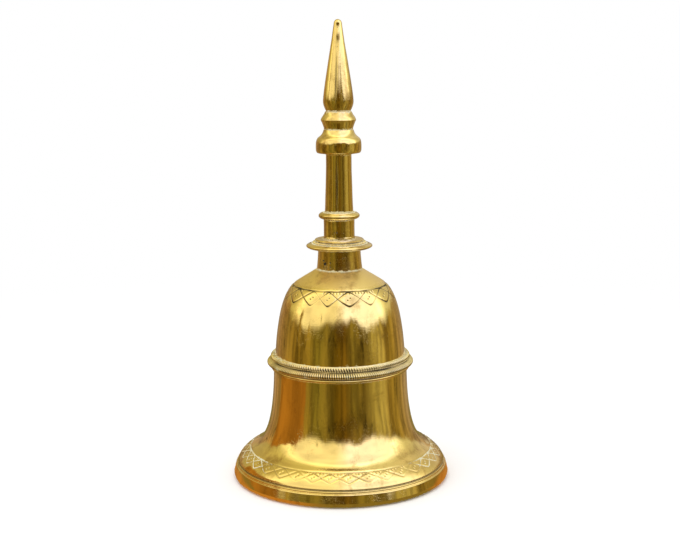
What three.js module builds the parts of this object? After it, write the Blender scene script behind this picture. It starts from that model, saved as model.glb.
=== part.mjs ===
// Brass puja bell: a cast bell with a soldered waist band, a handle of turned sections stacked
// on a spindle, and a clapper hung inside on an eye and a link.
// Millimetres. The rim plane is z = 0, the bell's axis is Z, and the clapper's main swing is in XZ.
import * as THREE from 'three';

// ---- Driving dimensions: bell body -------------------------------------------------------
const BODY_HEIGHT = 88; // rim plane to the flat crown that the handle stands on
const RIM_R = 45.5; // widest radius, low on the lip
const LIP_HEIGHT = 5.25; // plain band above the rim
const LIP_LEAN = 0.875; // how far the lip's top edge stands in from RIM_R
const LIP_ROUND = { inset: 1.25, height: 1.75 }; // rounding of the lip's lower outer edge
const LIP_WALL = 3.125; // width of the flat that the bell stands on
const RIDGE_HEIGHT = 1; // small turned ridge above the lip
const GROOVE_DEPTH = 0.5; // turned groove between the ridge and the engraved flare
const FLARE_R = 36.5; // where the flare turns from hollow to rounded
const FLARE_Z = 13.25;
const WAIST_R = 28; // under the waist band
const WAIST_TOP_Z = 46; // ledge that the waist band sits on
const LEDGE = 0.5; // width of that ledge
const DOME_STEP = 0.25; // how much narrower the dome's foot is than the band's seat
const SHOULDER_R = 19.5; // lower end of the crown slope
const SHOULDER_DROP = 6.25; // crown to the lower end of the slope
const CROWN_LAND = 0.25; // flat left round the neck's foot
const WALL = 2.75; // waist and dome
const CROWN_WALL = 3.25;

// ---- Driving dimensions: waist band ------------------------------------------------------
const BASE_RING = { height: 1.5, proud: 1.375 };
const LOWER_RING = { height: 3, proud: 3.125 };
const UPPER_RING = { height: 2, proud: 1.625 };
const RING_FOOT = 0.625; // metal left at the ring's edges, under its rounding
const BAND_FIT = 0.1; // radial fit of the rings on their seat

// ---- Driving dimensions: handle stack, from the crown up ---------------------------------
const NECK = { height: 8.375, footR: 9.5, topR: 8.875 };
const PLATE = { height: 2.625, edgeR: 13.75, footR: 10, seatR: 10.75 };
const MILLED_RING = { height: 0.75, width: 1.5 };
const CAP = { height: 1.75, edgeR: 10.125, footR: 9, topR: 8 };
const SPOOL = { height: 8.125, endR: 6.625, waistR: 6.375 };
const GRIP = { height: 3, edgeR: 8.5, faceR: 6.25 };
const SHAFT = { height: 23.75, footR: 5.875, topR: 5.25 };
const KNOB = { height: 10.125, edgeR: 9.375, footR: 5.625, topR: 6.125 };
const COLLAR = { height: 7.375, edgeR: 7.25, footR: 6, topR: 5.875 };
const SPIRE = { height: 36.875, footR: 5, bellyR: 6.25, bellyZ: 4, tipR: 1.625 };

// ---- Driving dimensions: spindle and its fastening inside the crown ----------------------
const SPINDLE_R = 2.5;
const SPINDLE_IN_SPIRE = 16; // engagement in the spire's blind hole
const SPINDLE_END_GAP = 0.5; // space above the spindle in that hole
const BORE_FIT = 0.15; // radial fit of every piece on the spindle
const WASHER = { height: 1.5, edgeR: 7 };
const NUT = { height: 4, acrossFlats: 9.5 };
const HEAD = { height: 1.5, edgeR: 3.75 }; // peened end of the spindle

// ---- Driving dimensions: clapper ---------------------------------------------------------
const EYE = { wireR: 1, innerR: 2.4, shank: 7, neck: 1.5 };
const LINK = { wireR: 0.8, innerR: 2.2, drop: 7, gap: 0.5 }; // drop: eye's wire to link's lower wire
const ROD = { wireR: 1.25, innerR: 2.4, neck: 2 };
const BALL = { radius: 8.5, centreZ: 17, collarR: 3, collar: 2.5, hole: 9, tipR: 2.25, tip: 3.25 };
const HANG_GAP = 0.15; // between two wires that hang on each other
const WIRE_FIT = 0.15; // radial fit of a wire in its hole

// ---- Facets --------------------------------------------------------------------------------
const BODY_FACETS = 48;
const HANDLE_FACETS = 28;
const SMALL_FACETS = 20;
const WIRE_SIDES = 8;

// ---- Edges: 1 is a half-round bead, more is a lens, less is fuller -------------------------
const LENS = 1.4;
const CUSHION = 0.8;

// ---- Finishes ------------------------------------------------------------------------------
const FINISHES = {
  polishedBrass: { color: 0xc9a040, roughness: 0.28, metalness: 1 },
  milledBrass: { color: 0xc2a552, roughness: 0.42, metalness: 1 },
  castBrass: { color: 0x9a7526, roughness: 0.5, metalness: 1 },
  darkIron: { color: 0x4a433c, roughness: 0.6, metalness: 0.9 },
};

// ---- Outline helpers: an outline is a list of [radius, height] points ---------------------

/** Points along a cubic curve between two ends, shaped by two handles. */
function bend(from, handleA, handleB, to, steps) {
  const [a, b, c, d] = [from, handleA, handleB, to].map(([r, z]) => new THREE.Vector2(r, z));
  return new THREE.CubicBezierCurve(a, b, c, d).getPoints(steps).map((p) => [p.x, p.y]);
}

/** Points up a rounded edge that stands out by proud from [r, low] and [r, high]. */
function bulge(r, low, high, proud, steps, sharpness = LENS) {
  const points = [];
  for (let i = 0; i <= steps; i += 1) {
    const angle = Math.PI * (i / steps - 0.5);
    const rise = ((high - low) / 2) * Math.sin(angle);
    points.push([r + proud * Math.cos(angle) ** sharpness, (low + high) / 2 + rise]);
  }
  return points;
}

/** Points on a circle's arc about [0, z], from one angle in degrees to another. */
function arc(z, radius, from, to, steps) {
  const points = [];
  for (let i = 0; i <= steps; i += 1) {
    const angle = THREE.MathUtils.degToRad(from + ((to - from) * i) / steps);
    points.push([radius * Math.cos(angle), z + radius * Math.sin(angle)]);
  }
  return points;
}

/** The point that lies a wall's thickness inside a point, along a direction in degrees. */
function inside([r, z], wall, direction) {
  const angle = THREE.MathUtils.degToRad(direction);
  return [r - wall * Math.cos(angle), z - wall * Math.sin(angle)];
}

// ---- Mesh helpers --------------------------------------------------------------------------

function piece(name, geometry, finish) {
  const mesh = new THREE.Mesh(geometry, new THREE.MeshStandardMaterial(FINISHES[finish]));
  mesh.name = name;
  return mesh;
}

/** Revolves an outline about Z; it runs up the outside and, unless it ends on the axis, closes. */
function turned(outline, facets) {
  const clean = outline.filter(([r, z], i) => {
    const before = outline[i - 1];
    return !before || Math.hypot(r - before[0], z - before[1]) > 1e-4;
  });
  const endsOnAxis = clean[0][0] === 0 && clean[clean.length - 1][0] === 0;
  if (!endsOnAxis) clean.push(clean[0]);
  const points = clean.map(([r, z]) => new THREE.Vector2(r, z));
  return new THREE.LatheGeometry(points, facets).rotateX(Math.PI / 2);
}

/** A bored piece: the outline of its outside, from the foot up, closed by a straight bore. */
function bored(outline, boreR, facets) {
  const foot = outline[0][1];
  const top = outline[outline.length - 1][1];
  return turned([[boreR, foot], ...outline, [boreR, top]], facets);
}

/** A round wire that follows [across, height] points in the XZ plane, or in YZ if turned. */
function bentWire(points, radius, steps, inYZ = false) {
  const section = new THREE.Shape().absarc(0, 0, radius, 0, 2 * Math.PI);
  const path = new THREE.CatmullRomCurve3(
    points.map(([across, z]) => (inYZ ? new THREE.Vector3(0, across, z) : new THREE.Vector3(across, 0, z))),
  );
  const options = { steps, extrudePath: path, curveSegments: WIRE_SIDES / 2 };
  return new THREE.ExtrudeGeometry(section, options);
}

// ---- Sizes that follow from the driving dimensions ----------------------------------------

const boreR = SPINDLE_R + BORE_FIT;
const seatR = WAIST_R - LEDGE; // waist band's seat on the body
const ringBoreR = seatR + BAND_FIT;
const bandHeight = BASE_RING.height + LOWER_RING.height + UPPER_RING.height;
const bandTopZ = WAIST_TOP_Z + bandHeight;
const innerCrownZ = BODY_HEIGHT - CROWN_WALL;

const neckZ = BODY_HEIGHT;
const plateZ = neckZ + NECK.height;
const capZ = plateZ + PLATE.height;
const spoolZ = capZ + CAP.height;
const gripZ = spoolZ + SPOOL.height;
const shaftZ = gripZ + GRIP.height;
const knobZ = shaftZ + SHAFT.height;
const collarZ = knobZ + KNOB.height;
const spireZ = collarZ + COLLAR.height;

const washerZ = innerCrownZ - WASHER.height;
const nutZ = washerZ - NUT.height;
const headZ = nutZ - HEAD.height;

const eyeLoopR = EYE.innerR + EYE.wireR;
const eyeCentreZ = headZ - EYE.neck - eyeLoopR - EYE.wireR;
const linkPivotZ = eyeCentreZ - eyeLoopR; // eye's lower wire, which the link hangs on
const clapperPivotZ = linkPivotZ - LINK.drop; // link's lower wire, which the clapper hangs on
const rodLoopR = ROD.innerR + ROD.wireR;
const rodLoopZ = clapperPivotZ + LINK.wireR + HANG_GAP + ROD.wireR - rodLoopR;

// ---- Bell body -----------------------------------------------------------------------------

function bellBody() {
  const footR = RIM_R - LIP_ROUND.inset;
  const lipTopR = RIM_R - LIP_LEAN;
  const ridgeR = lipTopR - GROOVE_DEPTH;
  const grooveZ = LIP_HEIGHT + RIDGE_HEIGHT;
  const grooveR = ridgeR - GROOVE_DEPTH;
  const domeR = seatR - DOME_STEP;
  const shoulderZ = BODY_HEIGHT - SHOULDER_DROP;
  const crownR = NECK.footR + CROWN_LAND;
  const domeRise = shoulderZ - bandTopZ;
  const waistDrop = WAIST_TOP_Z - FLARE_Z;
  const lip = [
    [footR, 0],
    [RIM_R - 0.3 * LIP_ROUND.inset, 0.35 * LIP_ROUND.height],
    [RIM_R, LIP_ROUND.height],
    [lipTopR, LIP_HEIGHT],
    [ridgeR, LIP_HEIGHT + 0.25],
    [ridgeR, grooveZ],
    [grooveR, grooveZ + 0.25],
    [grooveR, grooveZ + 0.75],
  ];
  const flareTop = [FLARE_R, FLARE_Z];
  const flareRise = FLARE_Z - grooveZ - 0.75;
  const flareRun = grooveR - FLARE_R;
  const flare = bend(
    [grooveR, FLARE_Z - flareRise],
    [grooveR - 0.15 * flareRun, FLARE_Z - 0.62 * flareRise],
    [FLARE_R + 0.45 * flareRun, FLARE_Z - 0.27 * flareRise],
    flareTop,
    4,
  );
  const waist = bend(
    flareTop,
    [WAIST_R + 0.24 * (FLARE_R - WAIST_R), FLARE_Z + 0.09 * waistDrop],
    [WAIST_R + 0.04 * (FLARE_R - WAIST_R), FLARE_Z + 0.52 * waistDrop],
    [WAIST_R, WAIST_TOP_Z],
    8,
  );
  const dome = bend(
    [domeR, bandTopZ],
    [domeR - 0.12 * (domeR - SHOULDER_R), bandTopZ + 0.48 * domeRise],
    [SHOULDER_R + 0.6 * (domeR - SHOULDER_R), shoulderZ - 0.15 * domeRise],
    [SHOULDER_R, shoulderZ],
    7,
  );
  const slope = bend(
    [SHOULDER_R, shoulderZ],
    [SHOULDER_R - 0.3 * (SHOULDER_R - crownR), shoulderZ + 0.35 * SHOULDER_DROP],
    [crownR + 0.3 * (SHOULDER_R - crownR), shoulderZ + 0.68 * SHOULDER_DROP],
    [crownR, BODY_HEIGHT],
    2,
  );
  const crownEdge = SHOULDER_R - WALL - 1;
  const innerDome = bend(
    [WASHER.edgeR + 1, innerCrownZ],
    [crownEdge, innerCrownZ - 0.1 * domeRise],
    [domeR - WALL - 0.5, bandTopZ + 0.55 * domeRise],
    [domeR - WALL, bandTopZ],
    7,
  );
  const innerFlare = inside(flareTop, WALL, 55);
  const innerWaist = bend(
    [WAIST_R - WALL, WAIST_TOP_Z],
    [WAIST_R - WALL, FLARE_Z + 0.48 * waistDrop],
    [WAIST_R - 0.5 * WALL, FLARE_Z - 0.02 * waistDrop],
    innerFlare,
    6,
  );
  const rimInnerR = footR - LIP_WALL;
  const innerLip = bend(
    innerFlare,
    [innerFlare[0] + 0.5 * (rimInnerR - innerFlare[0]), 0.85 * innerFlare[1]],
    [rimInnerR, 0.45 * innerFlare[1]],
    [rimInnerR, 0],
    3,
  );
  const outline = [
    ...lip,
    ...flare,
    ...waist,
    [seatR, WAIST_TOP_Z],
    [seatR, bandTopZ],
    ...dome,
    ...slope,
    [boreR, BODY_HEIGHT],
    [boreR, innerCrownZ],
    ...innerDome,
    ...innerWaist,
    ...innerLip,
  ];
  return piece('bell_body', turned(outline, BODY_FACETS), 'polishedBrass');
}

// ---- Waist band ----------------------------------------------------------------------------

function bandRing(name, { height, proud }, z, finish) {
  const outline = bulge(ringBoreR + RING_FOOT, 0, height, proud - RING_FOOT, 6);
  const ring = piece(name, bored(outline, ringBoreR, BODY_FACETS), finish);
  ring.position.z = z;
  return ring;
}

function waistBand() {
  const lowerZ = BASE_RING.height;
  const upperZ = lowerZ + LOWER_RING.height;
  const band = new THREE.Group();
  band.add(bandRing('band_base_ring', BASE_RING, 0, 'polishedBrass'));
  band.add(bandRing('band_lower_ring', LOWER_RING, lowerZ, 'milledBrass'));
  band.add(bandRing('band_upper_ring', UPPER_RING, upperZ, 'milledBrass'));
  band.position.z = WAIST_TOP_Z;
  return band;
}

// ---- Handle --------------------------------------------------------------------------------

/** One section of the handle, bored for the spindle and standing at height z. */
function section(name, outline, z, innerR = boreR, finish = 'polishedBrass') {
  const mesh = piece(name, bored(outline, innerR, HANDLE_FACETS), finish);
  mesh.position.z = z;
  return mesh;
}

function neckCollar() {
  const outline = bend(
    [NECK.footR, 0],
    [NECK.topR + 0.3, 0.3 * NECK.height],
    [NECK.topR, 0.6 * NECK.height],
    [NECK.topR, NECK.height],
    4,
  );
  return section('neck_collar', outline, neckZ);
}

function flangePlate() {
  const seat = [PLATE.seatR, PLATE.height];
  const edge = bulge(PLATE.seatR, 0.25, PLATE.height, PLATE.edgeR - PLATE.seatR, 6);
  return section('flange_plate', [[PLATE.footR, 0], ...edge, seat], plateZ);
}

/** Thin milled ring that lies on the plate round the cap's foot. */
function flangeMilledRing() {
  const innerR = CAP.footR + BAND_FIT;
  const outline = bulge(innerR + MILLED_RING.width, 0, MILLED_RING.height, 0.5, 4);
  return section('flange_milled_ring', outline, capZ, innerR, 'milledBrass');
}

/** Upper disc of the flange: a narrow foot inside the milled ring, then a rounded brim. */
function flangeCap() {
  const brimZ = MILLED_RING.height + BAND_FIT;
  const brim = bulge(CAP.topR, brimZ, CAP.height, CAP.edgeR - CAP.topR, 4);
  return section('flange_cap', [[CAP.footR, 0], [CAP.footR, brimZ], ...brim.slice(1)], capZ);
}

function shaftSpool() {
  const mid = [SPOOL.waistR, 0.5 * SPOOL.height];
  const outline = [[SPOOL.endR, 0], [SPOOL.waistR, 0.15 * SPOOL.height], mid, [SPOOL.waistR, SPOOL.height]];
  return section('shaft_spool', outline, spoolZ);
}

function gripRing() {
  return section('grip_ring', bulge(GRIP.faceR, 0, GRIP.height, GRIP.edgeR - GRIP.faceR, 6), gripZ);
}

function handleShaft() {
  const outline = bend(
    [SHAFT.footR, 0],
    [SHAFT.footR - 0.25, 0.3 * SHAFT.height],
    [SHAFT.topR, 0.6 * SHAFT.height],
    [SHAFT.topR, SHAFT.height],
    5,
  );
  return section('handle_shaft', outline, shaftZ);
}

/** Cushion-shaped knob: a short foot, the cushion itself, and a stepped cap. */
function cushionKnob() {
  const cushionTop = 0.74 * KNOB.height;
  const cushionR = KNOB.footR + 1.25;
  const outline = [
    [KNOB.footR, 0],
    [KNOB.footR, 0.06 * KNOB.height],
    ...bulge(cushionR, 0.06 * KNOB.height, cushionTop, KNOB.edgeR - cushionR, 8, CUSHION),
    [KNOB.topR + 0.75, 0.9 * KNOB.height],
    [KNOB.topR, KNOB.height],
  ];
  return section('cushion_knob', outline, knobZ);
}

/** Double cone that carries the spire. */
function finialCollar() {
  const edgeZ = 0.52 * COLLAR.height;
  const outline = [
    [COLLAR.footR, 0],
    [COLLAR.footR, 0.1 * COLLAR.height],
    [COLLAR.edgeR - 0.5, edgeZ - 1],
    [COLLAR.edgeR, edgeZ],
    [COLLAR.edgeR - 0.375, edgeZ + 1],
    [COLLAR.topR, 0.85 * COLLAR.height],
    [COLLAR.topR - 0.5, COLLAR.height],
  ];
  return section('finial_collar', outline, collarZ);
}

/** Spire with a rounded tip and a blind hole for the spindle. */
function spireFinial() {
  const tipZ = SPIRE.height - SPIRE.tipR;
  const taper = tipZ - SPIRE.bellyZ;
  const outline = [
    [0, SPINDLE_IN_SPIRE + SPINDLE_END_GAP],
    [boreR, SPINDLE_IN_SPIRE + SPINDLE_END_GAP],
    [boreR, 0],
    ...bend([SPIRE.footR, 0], [SPIRE.footR + 0.4, 1], [SPIRE.bellyR, 0.6 * SPIRE.bellyZ],
      [SPIRE.bellyR, SPIRE.bellyZ], 4),
    ...bend([SPIRE.bellyR, SPIRE.bellyZ], [SPIRE.bellyR - 1, SPIRE.bellyZ + 0.22 * taper],
      [SPIRE.tipR + 1.125, SPIRE.bellyZ + 0.72 * taper], [SPIRE.tipR, tipZ], 8),
    ...arc(tipZ, SPIRE.tipR, 15, 75, 2),
    [0, SPIRE.height],
  ];
  const mesh = piece('spire_finial', turned(outline, HANDLE_FACETS), 'polishedBrass');
  mesh.position.z = spireZ;
  return mesh;
}

// ---- Spindle and fastening -----------------------------------------------------------------

/** Rod through the whole handle; its peened head is drilled from below for the eye's shank. */
function handleSpindle() {
  const holeR = EYE.wireR + WIRE_FIT;
  const outline = [
    [0, headZ + EYE.shank],
    [holeR, headZ + EYE.shank],
    [holeR, headZ],
    [HEAD.edgeR - 0.5, headZ],
    [HEAD.edgeR, headZ + 0.5],
    [HEAD.edgeR, nutZ],
    [SPINDLE_R, nutZ],
    [SPINDLE_R, spireZ + SPINDLE_IN_SPIRE],
    [0, spireZ + SPINDLE_IN_SPIRE],
  ];
  return piece('handle_spindle', turned(outline, SMALL_FACETS), 'darkIron');
}

function crownWasher() {
  const mesh = piece('crown_washer', bored([[WASHER.edgeR, 0], [WASHER.edgeR, WASHER.height]], boreR,
    SMALL_FACETS), 'castBrass');
  mesh.position.z = washerZ;
  return mesh;
}

function crownNut() {
  const cornerR = NUT.acrossFlats / 2 / Math.cos(Math.PI / 6);
  const corners = Array.from({ length: 6 }, (_, i) => {
    const angle = (i * Math.PI) / 3;
    return new THREE.Vector2(cornerR * Math.cos(angle), cornerR * Math.sin(angle));
  });
  const shape = new THREE.Shape(corners);
  shape.holes.push(new THREE.Path().absarc(0, 0, boreR, 0, 2 * Math.PI));
  const geometry = new THREE.ExtrudeGeometry(shape, {
    depth: NUT.height, bevelEnabled: false, curveSegments: SMALL_FACETS / 2,
  });
  const mesh = piece('crown_nut', geometry, 'darkIron');
  mesh.position.z = nutZ;
  return mesh;
}

// ---- Clapper -------------------------------------------------------------------------------

/** Wire eye: a shank held in the spindle's end, bent round below it into a loop. */
function clapperEye() {
  const neckZ0 = eyeCentreZ + eyeLoopR + EYE.wireR;
  const points = [
    [0, headZ + EYE.shank - BORE_FIT],
    [0, headZ + 0.5 * EYE.shank],
    [0, headZ],
    [0, neckZ0 + 0.4 * EYE.neck],
    ...arc(eyeCentreZ, eyeLoopR, 118, 415, 14),
  ];
  return piece('clapper_eye', bentWire(points, EYE.wireR, 32), 'darkIron');
}

/** Oval wire link, bent shut with a small gap, that hangs on the eye and carries the clapper. */
function clapperLink() {
  const bendR = LINK.innerR + LINK.wireR;
  const topZ = EYE.wireR + HANG_GAP + LINK.wireR - bendR; // centre of the upper bend, from the eye
  const lowZ = bendR - LINK.drop; // centre of the lower bend
  const midZ = (topZ + lowZ) / 2;
  const points = [
    [bendR, midZ + LINK.gap / 2],
    ...arc(topZ, bendR, 0, 180, 8),
    [-bendR, midZ],
    ...arc(lowZ, bendR, 180, 360, 8),
    [bendR, midZ - LINK.gap / 2],
  ];
  const mesh = piece('clapper_link', bentWire(points, LINK.wireR, 32, true), 'darkIron');
  mesh.position.z = linkPivotZ;
  return mesh;
}

/** Clapper rod: a loop over the link, then straight down into the ball. */
function clapperRod() {
  const neckZ0 = rodLoopZ - rodLoopR - ROD.wireR;
  const endZ = BALL.centreZ + BALL.radius + BALL.collar - BALL.hole + WIRE_FIT;
  const points = [
    ...arc(rodLoopZ, rodLoopR, -58, 242, 14),
    [0, neckZ0 - 0.4 * ROD.neck],
    [0, neckZ0 - 2 * ROD.neck],
    [0, (neckZ0 + endZ) / 2],
    [0, endZ],
  ];
  return piece('clapper_rod', bentWire(points, ROD.wireR, 44), 'darkIron');
}

/** Clapper ball with a collar, a blind hole for the rod, and a small round tip below. */
function clapperBall() {
  const holeR = ROD.wireR + WIRE_FIT;
  const collarAngle = THREE.MathUtils.radToDeg(Math.acos(BALL.collarR / BALL.radius));
  const tipAngle = THREE.MathUtils.radToDeg(Math.acos((0.7 * BALL.tipR) / BALL.radius));
  const topZ = BALL.radius + BALL.collar;
  const tipZ = -BALL.radius - BALL.tip + BALL.tipR;
  const outline = [
    [0, tipZ - BALL.tipR],
    ...arc(tipZ, BALL.tipR, -60, 30, 3),
    ...arc(0, BALL.radius, -tipAngle, collarAngle, 9),
    [BALL.collarR, topZ],
    [holeR, topZ],
    [holeR, topZ - BALL.hole],
    [0, topZ - BALL.hole],
  ];
  const mesh = piece('clapper_ball', turned(outline, SMALL_FACETS), 'castBrass');
  mesh.position.z = BALL.centreZ;
  return mesh;
}

// ---- Assembly ------------------------------------------------------------------------------

const handle = new THREE.Group();
handle.add(
  neckCollar(),
  flangePlate(),
  flangeMilledRing(),
  flangeCap(),
  shaftSpool(),
  gripRing(),
  handleShaft(),
  cushionKnob(),
  finialCollar(),
  spireFinial(),
  handleSpindle(),
  crownWasher(),
  crownNut(),
);

const clapper = new THREE.Group();
clapper.add(clapperEye(), clapperLink(), clapperRod(), clapperBall());

const bell = new THREE.Group();
bell.add(bellBody(), waistBand(), handle, clapper);

export default bell;
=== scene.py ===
"""Brass puja bell.

A cast bell with an engraved flare and shoulder, a milled waist band, a handle of turned sections
that ends in a spire, and a clapper hung inside on an eye and a link. All sizes are in metres.
"""

import logging
import math
from collections.abc import Callable
from dataclasses import dataclass, field
from enum import Enum
from functools import partial, reduce
from itertools import pairwise
from typing import Any

import bpy
import numpy as np
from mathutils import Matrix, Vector


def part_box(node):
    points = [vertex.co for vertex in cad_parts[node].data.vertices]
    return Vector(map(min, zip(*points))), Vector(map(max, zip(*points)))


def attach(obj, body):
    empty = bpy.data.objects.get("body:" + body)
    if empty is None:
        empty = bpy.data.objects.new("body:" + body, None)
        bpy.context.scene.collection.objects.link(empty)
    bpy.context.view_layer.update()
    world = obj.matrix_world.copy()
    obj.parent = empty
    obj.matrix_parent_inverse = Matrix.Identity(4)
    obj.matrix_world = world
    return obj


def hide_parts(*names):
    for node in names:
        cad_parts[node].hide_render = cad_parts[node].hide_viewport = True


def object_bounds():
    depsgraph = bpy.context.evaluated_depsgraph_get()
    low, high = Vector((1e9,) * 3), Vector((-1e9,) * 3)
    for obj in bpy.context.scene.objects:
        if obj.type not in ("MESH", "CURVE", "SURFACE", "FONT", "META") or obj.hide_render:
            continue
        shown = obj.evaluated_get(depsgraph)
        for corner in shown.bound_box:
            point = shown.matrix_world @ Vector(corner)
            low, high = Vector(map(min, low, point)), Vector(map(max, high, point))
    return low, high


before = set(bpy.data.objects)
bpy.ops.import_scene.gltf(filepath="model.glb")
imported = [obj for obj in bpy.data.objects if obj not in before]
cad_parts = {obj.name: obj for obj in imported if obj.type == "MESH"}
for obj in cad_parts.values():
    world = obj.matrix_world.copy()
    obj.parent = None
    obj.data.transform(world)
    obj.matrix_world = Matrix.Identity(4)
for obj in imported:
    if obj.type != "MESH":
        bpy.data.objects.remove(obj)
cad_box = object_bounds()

logging.basicConfig(level=logging.INFO, format="%(relativeCreated)6.0f ms  %(message)s")
log = logging.getLogger("puja_bell")

Numbers = float | np.ndarray
Point = tuple[float, float]
Vertex = tuple[float, float, float]
Colour = tuple[float, float, float]
Stops = tuple[tuple[float, Colour], ...]
Socket = bpy.types.NodeSocket
Piece = bpy.types.Object

MERGE_DISTANCE = 1e-6
MILLIMETRE = 0.001
FULL_TURN = 2 * math.pi
SMOOTHING = 50  # degrees between faces above which an edge stays sharp
MILLED_SMOOTHING = 80
NUT_SMOOTHING = 30


# ---- Outlines --------------------------------------------------------------------------------


def polar(angle: float, radius: float) -> Point:
    """Returns the point at an angle in degrees and a distance from the origin."""
    return radius * math.cos(math.radians(angle)), radius * math.sin(math.radians(angle))


@dataclass
class Outline:
    """A turning outline of [radius, height] points that runs up the outside of a piece."""

    points: list[Point] = field(default_factory=list)

    def to(self, *points: Point) -> "Outline":
        """Goes straight to each point in turn and returns the outline."""
        self.points.extend(points)
        return self

    def bend(self, handle_a: Point, handle_b: Point, end: Point, steps: int = 16) -> "Outline":
        """Follows a cubic curve from the last point.

        Args:
            handle_a: The handle that shapes the curve's start.
            handle_b: The handle that shapes its end.
            end: Where the curve ends.
            steps: How many points the curve gets.

        Returns:
            The outline.
        """
        start = self.points[-1]
        for i in range(1, steps + 1):
            t = i / steps
            weights = ((1 - t) ** 3, 3 * t * (1 - t) ** 2, 3 * t * t * (1 - t), t**3)
            ends = (start, handle_a, handle_b, end)
            self.points.append(tuple(sum(w * p[axis] for w, p in zip(weights, ends)) for axis in (0, 1)))
        return self

    def bulge(self, radius: float, low: float, high: float, proud: float, sharpness: float = 1.4,
              steps: int = 18) -> "Outline":
        """Goes up a rounded edge.

        Args:
            radius: The radius at the edge's lower and upper ends.
            low: The height of its lower end.
            high: The height of its upper end.
            proud: How far the edge's middle stands out.
            sharpness: 1 is a half-round bead, more is a lens and less is fuller.
            steps: How many points the edge gets.

        Returns:
            The outline.
        """
        for i in range(steps + 1):
            angle = math.pi * (i / steps - 0.5)
            rise = (high - low) / 2 * math.sin(angle)
            across = radius + proud * max(math.cos(angle), 0) ** sharpness
            self.points.append((across, (low + high) / 2 + rise))
        return self

    def arc(self, height: float, radius: float, start: float, end: float, steps: int = 12) -> "Outline":
        """Follows a circle about a point on the axis.

        Args:
            height: The height of its centre.
            radius: Its radius.
            start: The angle in degrees that it starts at.
            end: The angle that it ends at.
            steps: How many stretches it gets.

        Returns:
            The outline.
        """
        for i in range(steps + 1):
            across, rise = polar(start + (end - start) * i / steps, radius)
            self.points.append((across, height + rise))
        return self

    def eased(self, radius: float, corner: float = 25, steps: int = 3) -> "Outline":
        """Rounds the outline's sharp corners.

        Args:
            radius: The rounding, which short neighbouring stretches make smaller.
            corner: The turn in degrees above which a corner counts as sharp.
            steps: How many faces a rounded corner gets.

        Returns:
            A new outline, with a supporting point on each side of each rounding.
        """
        points = [Vector(p) for p in self.points]
        kept = [points[0]]
        for before, here, after in zip(points, points[1:], points[2:]):
            back, ahead = before - here, after - here
            if not (back.length and ahead.length) or here.x <= 0:
                kept.append(here)
                continue
            turn = math.pi - back.angle(ahead)
            if math.degrees(turn) < corner:
                kept.append(here)
                continue
            reach = min(radius * math.tan(turn / 2), 0.4 * back.length, 0.4 * ahead.length)
            start, end = here + back.normalized() * reach, here + ahead.normalized() * reach
            if back.length > 4 * reach:
                kept.append(here + back.normalized() * 1.6 * reach)
            for i in range(steps + 1):
                t = i / steps
                kept.append(start * (1 - t) ** 2 + here * 2 * t * (1 - t) + end * t * t)
            if ahead.length > 4 * reach:
                kept.append(here + ahead.normalized() * 1.6 * reach)
        kept.append(points[-1])
        return Outline([(p.x, p.y) for p in kept])

    def divided(self, step: Callable[[float, float], float]) -> "Outline":
        """Divides the outline's long stretches.

        Args:
            step: Gives the longest that a stretch may be, from its middle's radius and height.

        Returns:
            A new outline.
        """
        kept = [self.points[0]]
        for (ra, za), (rb, zb) in pairwise(self.points):
            run, rise = rb - ra, zb - za
            longest = step((ra + rb) / 2, (za + zb) / 2)
            parts = max(1, math.ceil(math.hypot(run, rise) / longest - 0.01))
            kept.extend((ra + run * i / parts, za + rise * i / parts) for i in range(1, parts + 1))
        return Outline(kept)


# ---- Making meshes ---------------------------------------------------------------------------


def extruded_chain(name: str, path: list[Vector]) -> Piece:
    """Makes a mesh that is a chain of edges.

    Args:
        name: The object's name.
        path: The chain's points.

    Returns:
        The object, left in edit mode with everything selected.
    """
    bpy.ops.object.select_all(action="DESELECT")
    bpy.ops.mesh.primitive_plane_add(size=0.001)
    piece = bpy.context.object
    piece.name = piece.data.name = name
    bpy.ops.object.mode_set(mode="EDIT")
    bpy.ops.mesh.select_all(action="SELECT")
    bpy.ops.mesh.merge(type="CENTER")
    bpy.ops.transform.translate(value=path[0])
    for here, after in pairwise(path):
        bpy.ops.mesh.extrude_vertices_move(TRANSFORM_OT_translate={"value": after - here})
    bpy.ops.mesh.select_all(action="SELECT")
    return piece


def close_up() -> None:
    """Merges the doubles of the mesh in edit mode, turns its faces outwards and leaves edit mode."""
    bpy.ops.mesh.select_all(action="SELECT")
    bpy.ops.mesh.remove_doubles(threshold=MERGE_DISTANCE)
    bpy.ops.mesh.normals_make_consistent(inside=False)
    bpy.ops.object.mode_set(mode="OBJECT")


def turned(name: str, outline: Outline, steps: int) -> Piece:
    """Spins an outline round the vertical axis.

    Args:
        name: The object's name.
        outline: The outline, which starts and ends on the axis or is closed here.
        steps: How many faces go round the piece.

    Returns:
        The turned piece, in object mode.
    """
    points = outline.points
    if points[0][0] > 0 or points[-1][0] > 0:
        points = [*points, points[0]]
    path = [Vector((points[0][0], 0, points[0][1]))]
    for radius, height in points[1:]:
        here = Vector((radius, 0, height))
        if (here - path[-1]).length > 4 * MERGE_DISTANCE:
            path.append(here)
    piece = extruded_chain(name, path)
    bpy.ops.mesh.spin(steps=steps, angle=FULL_TURN, center=(0, 0, 0), axis=(0, 0, 1))
    close_up()
    return piece


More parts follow.
